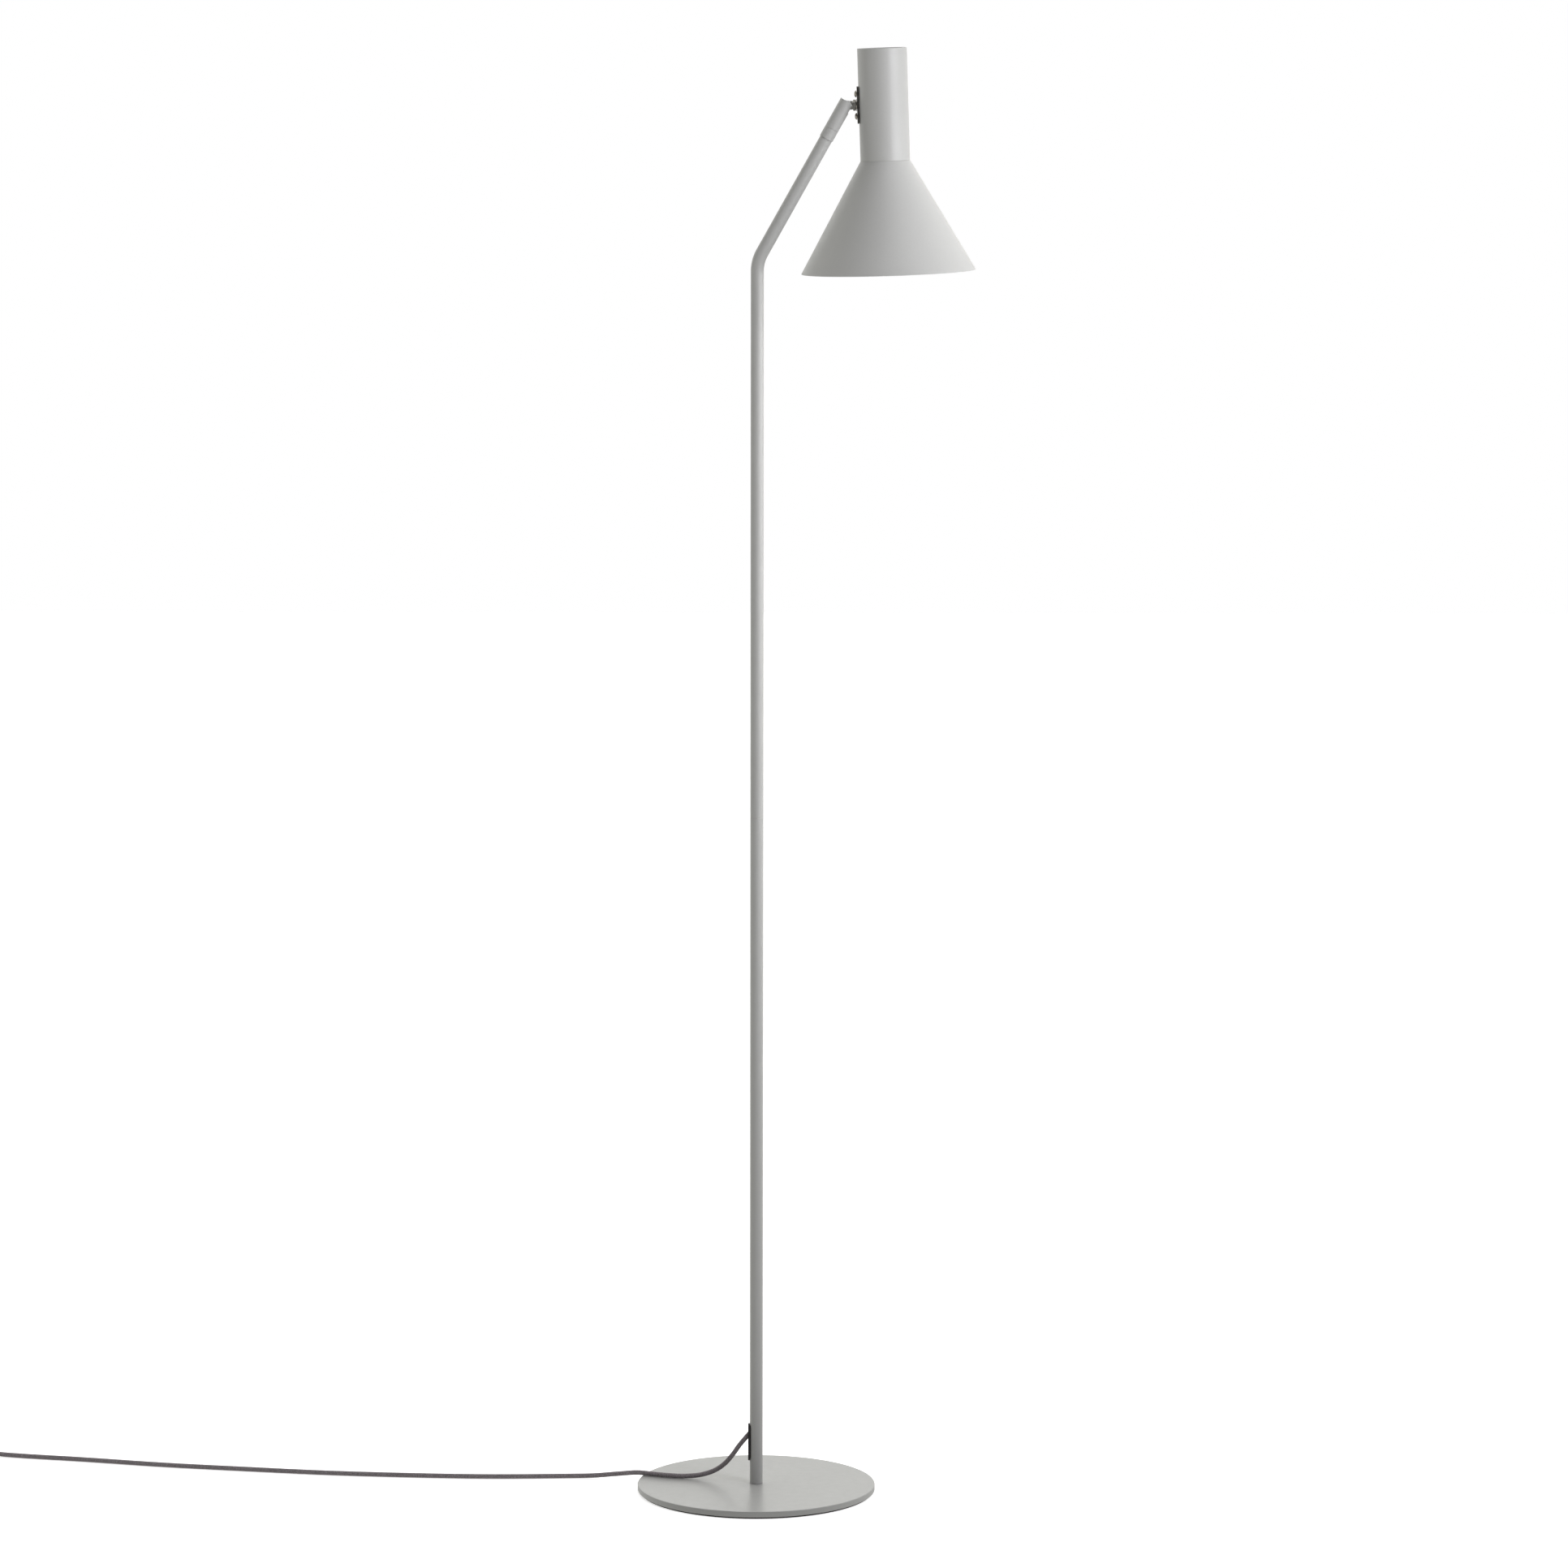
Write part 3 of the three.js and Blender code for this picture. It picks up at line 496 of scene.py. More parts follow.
def rounded(profile, steps=4):
    """The profile's points, with an arc at each one that carries a radius as its third number.

    A point by each arc keeps the shading of the flat beside it flat.
    """
    closed = profile[0][0] > 0
    points = []
    count = len(profile)
    for i, point in enumerate(profile):
        here = np.array(point[:2], float)
        fillet = point[2] if len(point) > 2 else 0
        if not fillet or (not closed and i in (0, count - 1)):
            points.append(tuple(here))
            continue
        back = np.array(profile[i - 1][:2], float) - here
        onward = np.array(profile[(i + 1) % count][:2], float) - here
        length_back, length_on = np.linalg.norm(back), np.linalg.norm(onward)
        back, onward = back / length_back, onward / length_on
        half = math.acos(max(-1.0, min(1.0, float(back @ onward)))) / 2
        reach = fillet / math.tan(half)
        middle = back + onward
        centre = here + middle / np.linalg.norm(middle) * fillet / math.sin(half)
        start, end = here + back * reach, here + onward * reach
        support = min(0.35, 0.3 * fillet + 0.1)
        if reach + support < 0.45 * length_back:
            points.append(tuple(here + back * (reach + support)))
        a, b = start - centre, end - centre
        sweep = math.atan2(a[0] * b[1] - a[1] * b[0], float(a @ b))
        for k in range(steps + 1):
            turn = sweep * k / steps
            cos, sin = math.cos(turn), math.sin(turn)
            points.append((
                float(centre[0] + a[0] * cos - a[1] * sin),
                float(centre[1] + a[0] * sin + a[1] * cos),
            ))
        if reach + support < 0.45 * length_on:
            points.append(tuple(here + onward * (reach + support)))
    return points


def skin(rings, closed):
    """Faces between rings of vertex numbers; a ring of one is a tip."""
    faces = []
    pairs = list(zip(rings, rings[1:])) + ([(rings[-1], rings[0])] if closed else [])
    for low, high in pairs:
        sides = max(len(low), len(high))
        if sides == 1:
            continue
        for k in range(sides):
            n = (k + 1) % sides
            corners = (
                low[k % len(low)], low[n % len(low)], high[n % len(high)], high[k % len(high)],
            )
            faces.append(tuple(dict.fromkeys(corners)))
    return faces


def solid(verts, faces):
    """A closed mesh as an object, with its faces outwards."""
    mesh = bpy.data.meshes.new("solid")
    mesh.from_pydata([tuple(v) for v in verts], [], faces)
    bm = bmesh.new()
    bm.from_mesh(mesh)
    bmesh.ops.remove_doubles(bm, verts=bm.verts, dist=1e-5)
    bmesh.ops.recalc_face_normals(bm, faces=bm.faces)
    if bm.calc_volume(signed=True) < 0:
        bmesh.ops.reverse_faces(bm, faces=bm.faces)
    bm.to_mesh(mesh)
    bm.free()
    obj = bpy.data.objects.new("solid", mesh)
    bpy.context.scene.collection.objects.link(obj)
    return obj


def turned(profile, sides=96, steps=4):
    """A solid of revolution about Z. A profile off the axis closes on itself."""
    closed = profile[0][0] > 0
    verts, rings = [], []
    for r, z in rounded(profile, steps):
        count = 1 if r < 1e-9 else sides
        rings.append(range(len(verts), len(verts) + count))
        for k in range(count):
            angle = 2 * math.pi * k / sides
            verts.append((r * math.cos(angle), r * math.sin(angle), z))
    return solid(verts, skin(rings, closed))


def rod(radius, low, high, sides=64, fillet=0.0):
    return turned([(0, low), (radius, low, fillet), (radius, high, fillet), (0, high)], sides)


def ring(inner, outer, low, high, sides=64, fillet=0.0):
    corners = [(inner, low), (outer, low), (outer, high), (inner, high)]
    return turned([(*c, fillet) for c in corners], sides)


def lofted(sections):
    """A closed solid through rings of points, all with the same number of points."""
    count = len(sections[0])
    verts = [p for section in sections for p in section]
    rings = [range(i * count, (i + 1) * count) for i in range(len(sections))]
    faces = skin(rings, False)
    faces.append(tuple(reversed(rings[0])))
    faces.append(tuple(rings[-1]))
    return solid(verts, faces)


def rounded_rectangle(width, height, radius, steps=8):
    radius = min(radius, width / 2 - 0.01, height / 2 - 0.01)
    x, y = width / 2 - radius, height / 2 - radius
    points = []
    for corner, (cx, cy) in enumerate(((x, y), (-x, y), (-x, -y), (x, -y))):
        for k in range(steps + 1):
            angle = (corner + k / steps) * math.pi / 2
            points.append((cx + radius * math.cos(angle), cy + radius * math.sin(angle)))
    return points


def prism(outline, low, high):
    return lofted([[(x, y, low) for x, y in outline], [(x, y, high) for x, y in outline]])


def block(x, y, z):
    outline = [(x[1], y[0]), (x[1], y[1]), (x[0], y[1]), (x[0], y[0])]
    return prism(outline, *z)


def moved(obj, matrix):
    obj.data.transform(matrix)
    return obj


def shifted(obj, x=0.0, y=0.0, z=0.0):
    return moved(obj, Matrix.Translation((x, y, z)))


def facing_x(obj):
    """Turns a prism so that its outline's x and y lie along Y and Z, and its depth along X."""
    return moved(obj, Matrix(((0, 0, 1, 0), (1, 0, 0, 0), (0, 1, 0, 0), (0, 0, 0, 1))))


def baked(obj):
    """The object with its modifiers made part of its mesh."""
    graph = bpy.context.evaluated_depsgraph_get()
    mesh = bpy.data.meshes.new_from_object(obj.evaluated_get(graph))
    obj.modifiers.clear()
    old, obj.data = obj.data, mesh
    bpy.data.meshes.remove(old)
    return obj


def combined(body, others, operation):
    for other in others:
        modifier = body.modifiers.new("boolean", "BOOLEAN")
        modifier.operation = operation
        modifier.solver = "EXACT"
        modifier.object = other
        baked(body)
        bpy.data.objects.remove(other)
    return body


def cut(body, *tools):
    return combined(body, tools, "DIFFERENCE")


def joined(body, *more):
    return combined(body, more, "UNION")


def common(body, *others):
    return combined(body, others, "INTERSECT")


def eased(obj, width, segments=2, angle=32):
    """Rounds the object's sharp edges."""
    modifier = obj.modifiers.new("bevel", "BEVEL")
    modifier.width = width
    modifier.segments = segments
    modifier.limit_method = "ANGLE"
    modifier.angle_limit = math.radians(angle)
    modifier.use_clamp_overlap = True
    return baked(obj)


def piece(name, obj, place, body, material, *replaces):
    """Names the object, sets it down in the world, smooths it and puts it on its body."""
    obj.name = name
    obj.data.name = name
    obj.data.transform(place)
    obj.data.materials.clear()
    obj.data.materials.append(material)
    obj.data.shade_smooth()
    obj.data.set_sharp_from_angle(angle=math.radians(38))
    weighted = obj.modifiers.new("weighted", "WEIGHTED_NORMAL")
    weighted.keep_sharp = True
    baked(obj)
    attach(obj, body)
    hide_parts(*replaces)
    return obj


# ---- base ----


def add_base():
    bottom, well, well_top = 2, 12, 6
    plate = turned([
        (SOCKET, well_top), (well, well_top, 0.2), (well, bottom, 0.3), (BASE_RADIUS, bottom, 0.4),
        (BASE_RADIUS, BASE_TOP, 0.8), (SOCKET, BASE_TOP),
    ], 256, 5)
    # The plate takes the darker grey, which is painted shade.
    piece("disc_base", plate, WORLD, "stand", GREY_SMOOTHER_PAINTED_SHADE, "base_plate")
    pad = rod(122.5, 0, 1.8, 192, 0.3)
    piece("foam_pad", pad, WORLD, "stand", FOAM, "base_pad")


# ---- pole ----

VERTEX = 1294.4  # height at which the axes of the pole and the neck meet
NECK_ANGLE = math.radians(29.3)
BEND_RADIUS = 38
NECK_END = 143.8  # from the vertex, along the neck
BEND_REACH = BEND_RADIUS * math.tan(NECK_ANGLE / 2)
BEND_FROM = VERTEX - BEND_REACH
BEND_TO = BEND_FROM + BEND_RADIUS * NECK_ANGLE


def tube_profile(low, high):
    return [
        (SOCKET, low), (TUBE, low, 0.2), (TUBE, high, 0.2), (SOCKET, high),
        (SOCKET, high - SOCKET_DEPTH), (BORE, high - SOCKET_DEPTH),
        (BORE, low + SOCKET_DEPTH), (SOCKET, low + SOCKET_DEPTH),
    ]


def pole_point(along):
    """Centre of the upper tube, and the direction across it in the plane of the bend."""
    turn = min(max((along - BEND_FROM) / BEND_RADIUS, 0), NECK_ANGLE)
    across = Vector((math.cos(turn), 0, -math.sin(turn)))
    if along <= BEND_FROM:
        return Vector((0, 0, along)), across
    centre = Vector((
        BEND_RADIUS * (1 - math.cos(turn)), 0, BEND_FROM + BEND_RADIUS * math.sin(turn)
    ))
    if along > BEND_TO:
        centre += (along - BEND_TO) * Vector((math.sin(NECK_ANGLE), 0, math.cos(NECK_ANGLE)))
    return centre, across


def bent_tube(profile, sides, steps=29):
    """A turned profile whose axis follows the pole, with rings all the way round the bend."""
    bend = [BEND_FROM - 1 + k * (BEND_TO - BEND_FROM + 2) / steps for k in range(steps + 1)]
    points = []
    corners = rounded(profile)
    for (r0, s0), (r1, s1) in zip(corners, corners[1:] + corners[:1]):
        points.append((r0, s0))
        inside = [s for s in bend if min(s0, s1) < s < max(s0, s1)]
        for s in sorted(inside, reverse=bool(s1 < s0)):
            points.append((r0 + (r1 - r0) * (s - s0) / (s1 - s0), s))
    verts, rings = [], []
    for r, s in points:
        centre, across = pole_point(float(s))
        rings.append(range(len(verts), len(verts) + sides))
        for k in range(sides):
            angle = 2 * math.pi * k / sides
            out = math.cos(angle) * across + math.sin(angle) * Vector((0, 1, 0))
            verts.append(centre + float(r) * out)
    return solid(verts, skin(rings, True))


def add_pole():
    opening = facing_x(prism(rounded_rectangle(5.6, 37, 2.8), -10, 0))
    lower = turned(tube_profile(BASE_TOP + SEAM, SEAM_HEIGHT - SEAM / 2), 96)
    lower = cut(lower, shifted(opening, z=SLOT_CENTRE))
    piece("pole_lower", lower, WORLD, "stand", GREY, "lower_tube")
    end = BEND_TO + NECK_END - BEND_REACH
    upper = bent_tube(tube_profile(SEAM_HEIGHT + SEAM / 2, end), 96)
    piece("pole_upper", upper, WORLD, "stand", GREY, "upper_tube")


# ---- grommet ----


def add_grommet():
    """A flat oval rubber strip with a rounded edge, and the cord's slanting passage."""
    width, height, face, back, round_over = 9, 40, 8.6, 6.8, 0.9

    def outline(inset, depth):
        flat = rounded_rectangle(width - 2 * inset, height - 2 * inset, width / 2 - inset, 12)
        return [(-depth, y, SLOT_CENTRE + z) for y, z in flat]

    sections = [outline(0.25, back), outline(0, back + 0.25)]
    steps = 6
    for step in range(steps + 1):
        turn = step / steps * math.pi / 2
        inset = round_over * (1 - math.cos(turn))
        sections.append(outline(inset, face - round_over * (1 - math.sin(turn))))
    flange = lofted(sections)
    stopper = facing_x(prism(rounded_rectangle(5, 36.4, 2.48), -7.4, -4.9))
    start, onward = Vector(CORD_RUN[0]), Vector(CORD_RUN[1])
    slant = math.atan2(start.x - onward.x, start.z - onward.z)  # of the cord where it leaves
    lean = Matrix.Translation(start) @ Matrix.Rotation(slant, 4, "Y")
    passage = moved(rod(2.75, -9, 9, 48), lean)
    body = cut(joined(flange, shifted(stopper, z=SLOT_CENTRE)), passage)
    piece("oval_grommet", body, WORLD, "stand", RUBBER, "cord_grommet")


# ---- neck and knuckle ----

BOLT_HOLE = 4.3


def add_neck():
    low, high, shoulder = 143.9, 155.4, 151
    collar = turned([
        (SOCKET, low), (COLLAR, low, 0.25), (COLLAR, high, 0.25), (BOLT_HOLE, high),
        (BOLT_HOLE, shoulder), (SOCKET, shoulder),
    ], 96)
    piece("collar", collar, NECK, "stand", GREY, "neck_collar")


def add_barrel():
    """A sleeve with a saddle scooped out of its top and a slot for the tongue."""
    low = SWIVEL_ALONG - PIVOT_ALONG
    high, floor, cavity_radius, cavity_top = 9, low + 3.3, 5.6, -7.4
    body = turned([
        (0, low + 0.6), (BOLT_HOLE, low + 0.6), (BOLT_HOLE, low), (COLLAR, low, 0.25),
        (COLLAR, high), (0, high),
    ], 128)
    cavity = turned([
        (0, low - 2), (BOLT_HOLE, low - 2), (BOLT_HOLE, floor), (cavity_radius, floor),
        (cavity_radius, cavity_top), (0, cavity_top),
    ], 64)
    saddle = shifted(moved(rod(11.8, -10, 10, 256), ALONG_Y), x=-4.06, z=16.64)
    slot = block((-4.9, 10), (-3, 3), (-5.4, 12))
    wire_well = rod(3.4, -9, 0)
    corner = cut(block((0, 10), (-9, 9), (0, 10)), moved(rod(6.9, -10, 10, 128), ALONG_Y))
    hole = moved(rod(1.7, -5.6, 9, 32), ALONG_Y)  # for the screw's thread
    seat = moved(rod(3.1, 5.9, 9, 48), ALONG_Y)  # for its head
    barrel = cut(body, cavity, saddle, slot, wire_well, corner, hole, seat)
    barrel = eased(barrel, 0.22, 2, 40)
    piece("barrel", barrel, KNUCKLE, "knuckle", GREY, "knuckle_barrel")
    for side, sign in (("near", -1), ("far", 1)):
        washer = ring(1.8, 3.9, 2.35, 2.85, 48, 0.08)
        washer = moved(washer, Matrix.Rotation(-sign * math.pi / 2, 4, "X"))
        piece(f"spring_washer_{side}", washer, KNUCKLE, "knuckle", DARK_ZINC,
              f"friction_washer_{side}")
    screw = turned([
        (0, -5.3), (1.5, -5.3, 0.2), (1.5, 6.2), (2.8, 6.2, 0.12), (2.8, 7, 0.3), (0, 7),
    ], 48)
    screw = cut(screw, block((-3, 3), (-0.4, 0.4), (6.5, 8)))
    piece("tilt_screw", moved(screw, ALONG_Y), KNUCKLE, "knuckle", ZINC, "pivot_screw")


# ---- head: stem, bracket and screws ----


def chamfered_nut(across_flats, hole, low, high):
    """A hexagon nut about Z with its corners turned off at 30 degrees."""
    corner = across_flats / math.sqrt(3)
    hexagon = [
        (corner * math.cos(k * math.pi / 3), corner * math.sin(k * math.pi / 3)) for k in range(6)
    ]
    face, bevel = across_flats / 2 - 0.15, 0.45
    drop = (corner - face) * math.tan(math.radians(30))
    envelope = turned([
        (0, low), (face, low), (corner, low + drop), (corner, high - drop), (face, high), (0, high),
    ], 96)
    wide = hole + bevel
    throat = turned([
        (0, low - 1), (wide, low - 1), (wide, low), (hole, low + bevel),
        (hole, high - bevel), (wide, high), (wide, high + 1), (0, high + 1),
    ], 64)
    return eased(cut(common(prism(hexagon, low, high), envelope), throat), 0.08, 2)


def add_stem():
    half, shoulder, end = 2.2, 8.3, 22
    eye = moved(rod(STEM_COLLAR, -half, half, 96), ALONG_Y)
    bar = block((0, 7.6), (-half, half), (-STEM_COLLAR, STEM_COLLAR))
    shank = moved(turned([
        (0, 7.3), (STEM_COLLAR, 7.3), (STEM_COLLAR, shoulder, 0.2), (STEM, shoulder),
        (STEM, end, 0.4), (0, end),
    ], 96), ALONG_X)
    bore = moved(rod(STEM_BORE, 5, end + 1), ALONG_X)
    wire_slot = block((5, 7), (-1.4, 1.4), (-6, 0))
    hole = moved(rod(1.8, -4, 4, 48), ALONG_Y)
    tongue = cut(joined(eye, bar, shank), bore, wire_slot, hole)
    tongue = eased(tongue, 0.22, 2, 40)
    piece("tongue", tongue, HEAD, "head", TONGUE_STEEL, "knuckle_tongue")
    nut = moved(chamfered_nut(10, STEM_HOLE, 8.4, 11.6), ALONG_X)
    piece("hex_nut", nut, HEAD, "head", DARK_ZINC, "stem_nut")
    washer = moved(ring(STEM_HOLE, 6.3, 11.8, 12.4, 96, 0.12), ALONG_X)
    piece("plain_washer", washer, HEAD, "head", ZINC, "stem_washer")
    inner = moved(chamfered_nut(11, STEM_HOLE, 18.6, 21.4), ALONG_X)
    piece("inner_nut", inner, HEAD, "head", ZINC, "stem_inner_nut")


def wall_holes():
    """Clearance holes for the stem and the two screws, in the head frame."""
    low, high = 5, 25
    stem = moved(rod(STEM_HOLE, low, high, 64), ALONG_X)
    screws = [
        shifted(moved(rod(BRACKET_SCREW_HOLE, low, high, 48), ALONG_X), z=side * SCREW_OFFSET)
        for side in (-1, 1)
    ]
    return [stem, *screws]


def add_bracket():
    plate = cut(facing_x(prism(rounded_rectangle(14, 38, 2.5), 12.7, 14.3)), *wall_holes())
    plate = eased(plate, 0.2, 2, 50)
    piece("bracket", plate, HEAD, "head", BLACK_STEEL, "bracket_plate")
    for name, side in (("lower", -1), ("upper", 1)):
        screw = turned([
            (0, 10.02), (1.2, 10.08), (2.2, 10.35), (3.0, 10.9), (3.45, 11.55), (3.6, 12.2, 0.15),
            (3.6, 12.4), (BRACKET_SCREW, 12.4), (BRACKET_SCREW, 19.4, 0.3), (0, 19.4),
        ], 64)
        arms = [
            moved(block((-1.7, 1.7), (-0.38, 0.38), (9, 11.2)), Matrix.Rotation(turn, 4, "Z"))
            for turn in (math.radians(20), math.radians(110))
        ]
        screw = eased(cut(screw, *arms), 0.06, 1, 50)
        screw = shifted(moved(screw, ALONG_X), z=side * SCREW_OFFSET)
        piece(f"pan_screw_{name}", screw, HEAD, "head", SCREW_STEEL, f"bracket_screw_{name}")


# ---- head: casing and shade ----


def on_axis(tools):
    """Moves tools from the head frame to the frame of the head's own axis."""
    return [shifted(tool, x=-HEAD_REACH) for tool in tools]


def add_casing():
    casing = turned([
        (HEAD_INNER, -HEAD_HALF), (HEAD_RADIUS, -HEAD_HALF, 0.15), (HEAD_RADIUS, HEAD_HALF, 0.3),
        (HEAD_INNER, HEAD_HALF, 0.2),
    ], 192)
    casing = cut(casing, *on_axis(wall_holes()))
    piece("head_casing", casing, AXIS, "head", GREY, "head_tube")
    inner, outer, low, under, top = 22.8, 24, 45, 52.6, 54
    cap = turned([
        (0, under), (inner, under), (inner, low), (outer, low, 0.2), (outer, top, 0.5), (0, top),
    ], 160)
    vents = [
        moved(shifted(prism(rounded_rectangle(9, 2.6, 1.3), 50, 56), x=13.5),
              Matrix.Rotation(k * math.pi / 3, 4, "Z"))
        for k in range(6)
    ]
    piece("vented_cap", cut(cap, *vents), AXIS, "head", GREY, "top_cap")


SHADE_TOP, SHADE_BOTTOM = -57.6, -171.5
SHADE_RIM, SHADE_HOLE, SHADE_WALL = 90, 20.3, 1.2
SHADE_SLOPE = (SHADE_RIM - HEAD_RADIUS) / (SHADE_TOP - SHADE_BOTTOM)


def add_shade():
    across = SHADE_WALL * math.hypot(1, SHADE_SLOPE)
    under = SHADE_TOP - SHADE_WALL
    neck_inside = HEAD_RADIUS + SHADE_SLOPE * SHADE_WALL - across
    shade = turned([
        (SHADE_HOLE, SHADE_TOP), (HEAD_RADIUS, SHADE_TOP, 0.2), (SHADE_RIM, SHADE_BOTTOM, 0.25),
        (SHADE_RIM - across, SHADE_BOTTOM, 0.25), (neck_inside, under, 0.8), (SHADE_HOLE, under),
    ], 320)
    shade = piece("shade", shade, AXIS, "head", GREY, "shade_cone")
    shade.data.materials.append(INSIDE_WHITE)
    to_axis = AXIS.inverted()
    turn = to_axis.to_3x3().normalized()
    for face in shade.data.polygons:
        centre, normal = to_axis @ face.center, turn @ face.normal
        if centre.z < under + 0.1 and normal.xy @ centre.xy < -0.1 * centre.xy.length:
            face.material_index = 1
    ring_top = under - GAP
    clamp = ribbed(
        [(19.8, ring_top - 5, 0.3), (23.5, ring_top - 5, 0.5), (23.5, ring_top, 0.4),
         (19.8, ring_top, 0.2)], 36, 0.45, 23
    )
    piece("clamp_ring", clamp, AXIS, "head", BLACK_PLASTIC, "shade_ring")


def ribbed(profile, count, depth, beyond):
    """A turned ring whose outside, past a radius, is cut with rounded grip ribs."""
    sides = count * 8
    obj = turned(profile, sides)
    for vertex in obj.data.vertices:
        r = math.hypot(vertex.co.x, vertex.co.y)
        if r > beyond - 1e-6:
            angle = math.atan2(vertex.co.y, vertex.co.x)
            scale = 1 - depth / r * (0.5 + 0.5 * math.cos(count * angle)) ** 2
            vertex.co.x *= scale
            vertex.co.y *= scale
    return obj


def add_lampholder():
    outer, inner, top, split, shoulder, mouth = 19.5, 17.7, -19.9, -33, -57.5, -66
    cap = turned([
        (SOCKET, top), (13, top, 0.8), (17.6, -22.1, 1.2), (outer, -25.9, 1.0), (outer, split, 0.3),
        (inner, split), (inner, -26.7), (12.4, -22.1), (SOCKET, -22.1),
    ], 96)
    piece("holder_cap", cap, AXIS, "head", BLACK_PLASTIC, "lampholder_cap")
    skirt = turned([
        (inner, split - GAP), (outer, split - GAP, 0.3), (outer, shoulder + 3),
        (22, shoulder + 3, 0.4), (22, shoulder, 0.3), (outer, shoulder), (outer, mouth, 0.7),
        (15.2, mouth, 0.5), (15.2, mouth + 2), (inner, mouth + 4),
    ], 96)
    piece("holder_skirt", skirt, AXIS, "head", BLACK_PLASTIC, "lampholder_skirt")


def add_bulb():
    radius, wall, centre, steps = 30, 1.5, -120, 24
    rise = 7  # of the seam between globe and housing above the globe's centre
    waist = centre + rise
    waist_radius = math.sqrt(radius**2 - rise**2)
    housing = turned([
        (12, -68.3), (13.8, -68.3, 0.5), (15.5, -80, 12), (20.5, -95, 12), (26.5, -106, 10),
        (waist_radius, waist, 0.3), (waist_radius - wall, waist), (26.5 - wall, -107),
        (20.5 - wall, -96), (14, -80),
    ], 128)
    piece("bulb_body", housing, AXIS, "head", WHITE_PLASTIC, "bulb_housing")
    start = math.asin((waist - GAP - centre) / radius)

    def arc(reach):
        """From the seam down to the tip."""
        points = []
        for i in range(steps + 1):
            angle = start - (start + math.pi / 2) * i / steps
            r = 0 if i == steps else reach * math.cos(angle)
            points.append((r, centre + reach * math.sin(angle)))
        return points

    globe = turned([*reversed(arc(radius)), *arc(radius - wall)], 128)
    piece("bulb_dome", globe, AXIS, "head", OPAL, "bulb_globe")


# ---- foot switch ----


def rounded_box(length, width, radius, stops):
    """A shell through rounded rectangles, each given as how far in it is and its height."""
    return lofted([
        [(x, y, z) for x, y in rounded_rectangle(
            length - 2 * inset, width - 2 * inset, max(radius - inset, 0.5), 10)]
        for inset, z in stops
    ])


def relief_profile(start, end, wide, narrow, grooves):
    """A tapered sleeve round the cord, with grooves that let it flex."""
    length, hole, thinnest = end - start, 2.6, 2.9
    pitch = length * 0.8 / grooves

    def radius(x):
        return wide + (narrow - wide) * (x - start) / length

    outside = [(wide, start, 0.35)]
    for k in range(grooves):
        x = start + length * 0.12 + k * pitch
        to = x + pitch * 0.42
        deep = max(thinnest, radius(x) - 0.9)
        outside += [
            (radius(x), x, 0.15), (deep, x + 0.3, 0.12), (deep, to, 0.12),
            (radius(to + 0.3), to + 0.3, 0.15),
        ]
    return [(hole, start), *outside, (narrow, end, 0.3), (hole, end)]


def press_spring(low, high):
    """A short coil spring about Z."""
    turns, per_turn, radius, wire, sides = 3, 24, 5, 0.4, 10
    count = turns * per_turn
    round_wire = [2 * math.pi * k / sides for k in range(sides)]
    sections = []
    for i in range(count + 1):
        angle = 2 * math.pi * i / per_turn
        height = low + wire + (high - low - 2 * wire) * i / count
        sections.append([
            ((radius + wire * math.cos(b)) * math.cos(angle),
             (radius + wire * math.cos(b)) * math.sin(angle), height + wire * math.sin(b))
            for b in round_wire
        ])
    return lofted(sections)


def cord_hole():
    return shifted(moved(rod(3.6, -40, 40, 48), ALONG_X), z=CORD_HEIGHT)


def add_switch():
    outside = (60, 30, 13)  # length, width and the corners' radius
    tray = rounded_box(*outside, [
        (1.4, 0), (0.6, 0.15), (0.15, 0.6), (0, 1.3), (0, 8.6), (0.1, 8.9), (0.35, 9),
        (1.8, 9), (2, 8.8), (2, 2.2), (2.2, 2),
    ])
    piece("switch_tray", cut(tray, cord_hole()), FOOT, "stand", BLACK_PLASTIC, "switch_base")
    lid = rounded_box(*outside, [
        (2.4, 17.8), (2, 17.4), (2, 9.5), (1.8, 9.3), (0.35, 9.3), (0.1, 9.4), (0, 9.7),
        (0, 17.6), (0.12, 18.4), (0.5, 19.15), (1.15, 19.7), (2, 19.95), (3, 20),
    ])
    opening = turned([(0, 14), (10.4, 14), (10.4, 19.4, 0.4), (11, 20.05), (11, 24), (0, 24)], 96)
    lid = cut(lid, opening, cord_hole())
    piece("switch_lid", lid, FOOT, "stand", BLACK_PLASTIC, "switch_cover")
    button = turned([
        (0, 14), (11.5, 14, 0.2), (11.5, 16, 0.2), (10, 16), (10, 22.6, 0.9), (8, 22.6, 0.5),
        (7, 22.1, 0.8), (0, 22),
    ], 128)
    piece("foot_button", button, FOOT, "switch_button", BLACK_PLASTIC, "switch_button")
    foot, top = 8.6, 13.4
    spring = press_spring(foot, top)
    spring = piece("press_spring", spring, FOOT, "stand", ZINC, "switch_spring")
    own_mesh(spring)
    for name, turn in (("front", 0), ("back", math.pi)):
        sleeve = turned(relief_profile(30.3, 50, 5.2, 3.3, 5), 64)
        sleeve = shifted(moved(sleeve, ALONG_X), z=CORD_HEIGHT)
        sleeve = moved(sleeve, Matrix.Rotation(turn, 4, "Z"))
        piece(f"switch_sleeve_{name}", sleeve, FOOT, "stand", RUBBER, f"switch_relief_{name}")


# ---- plug and tie ----


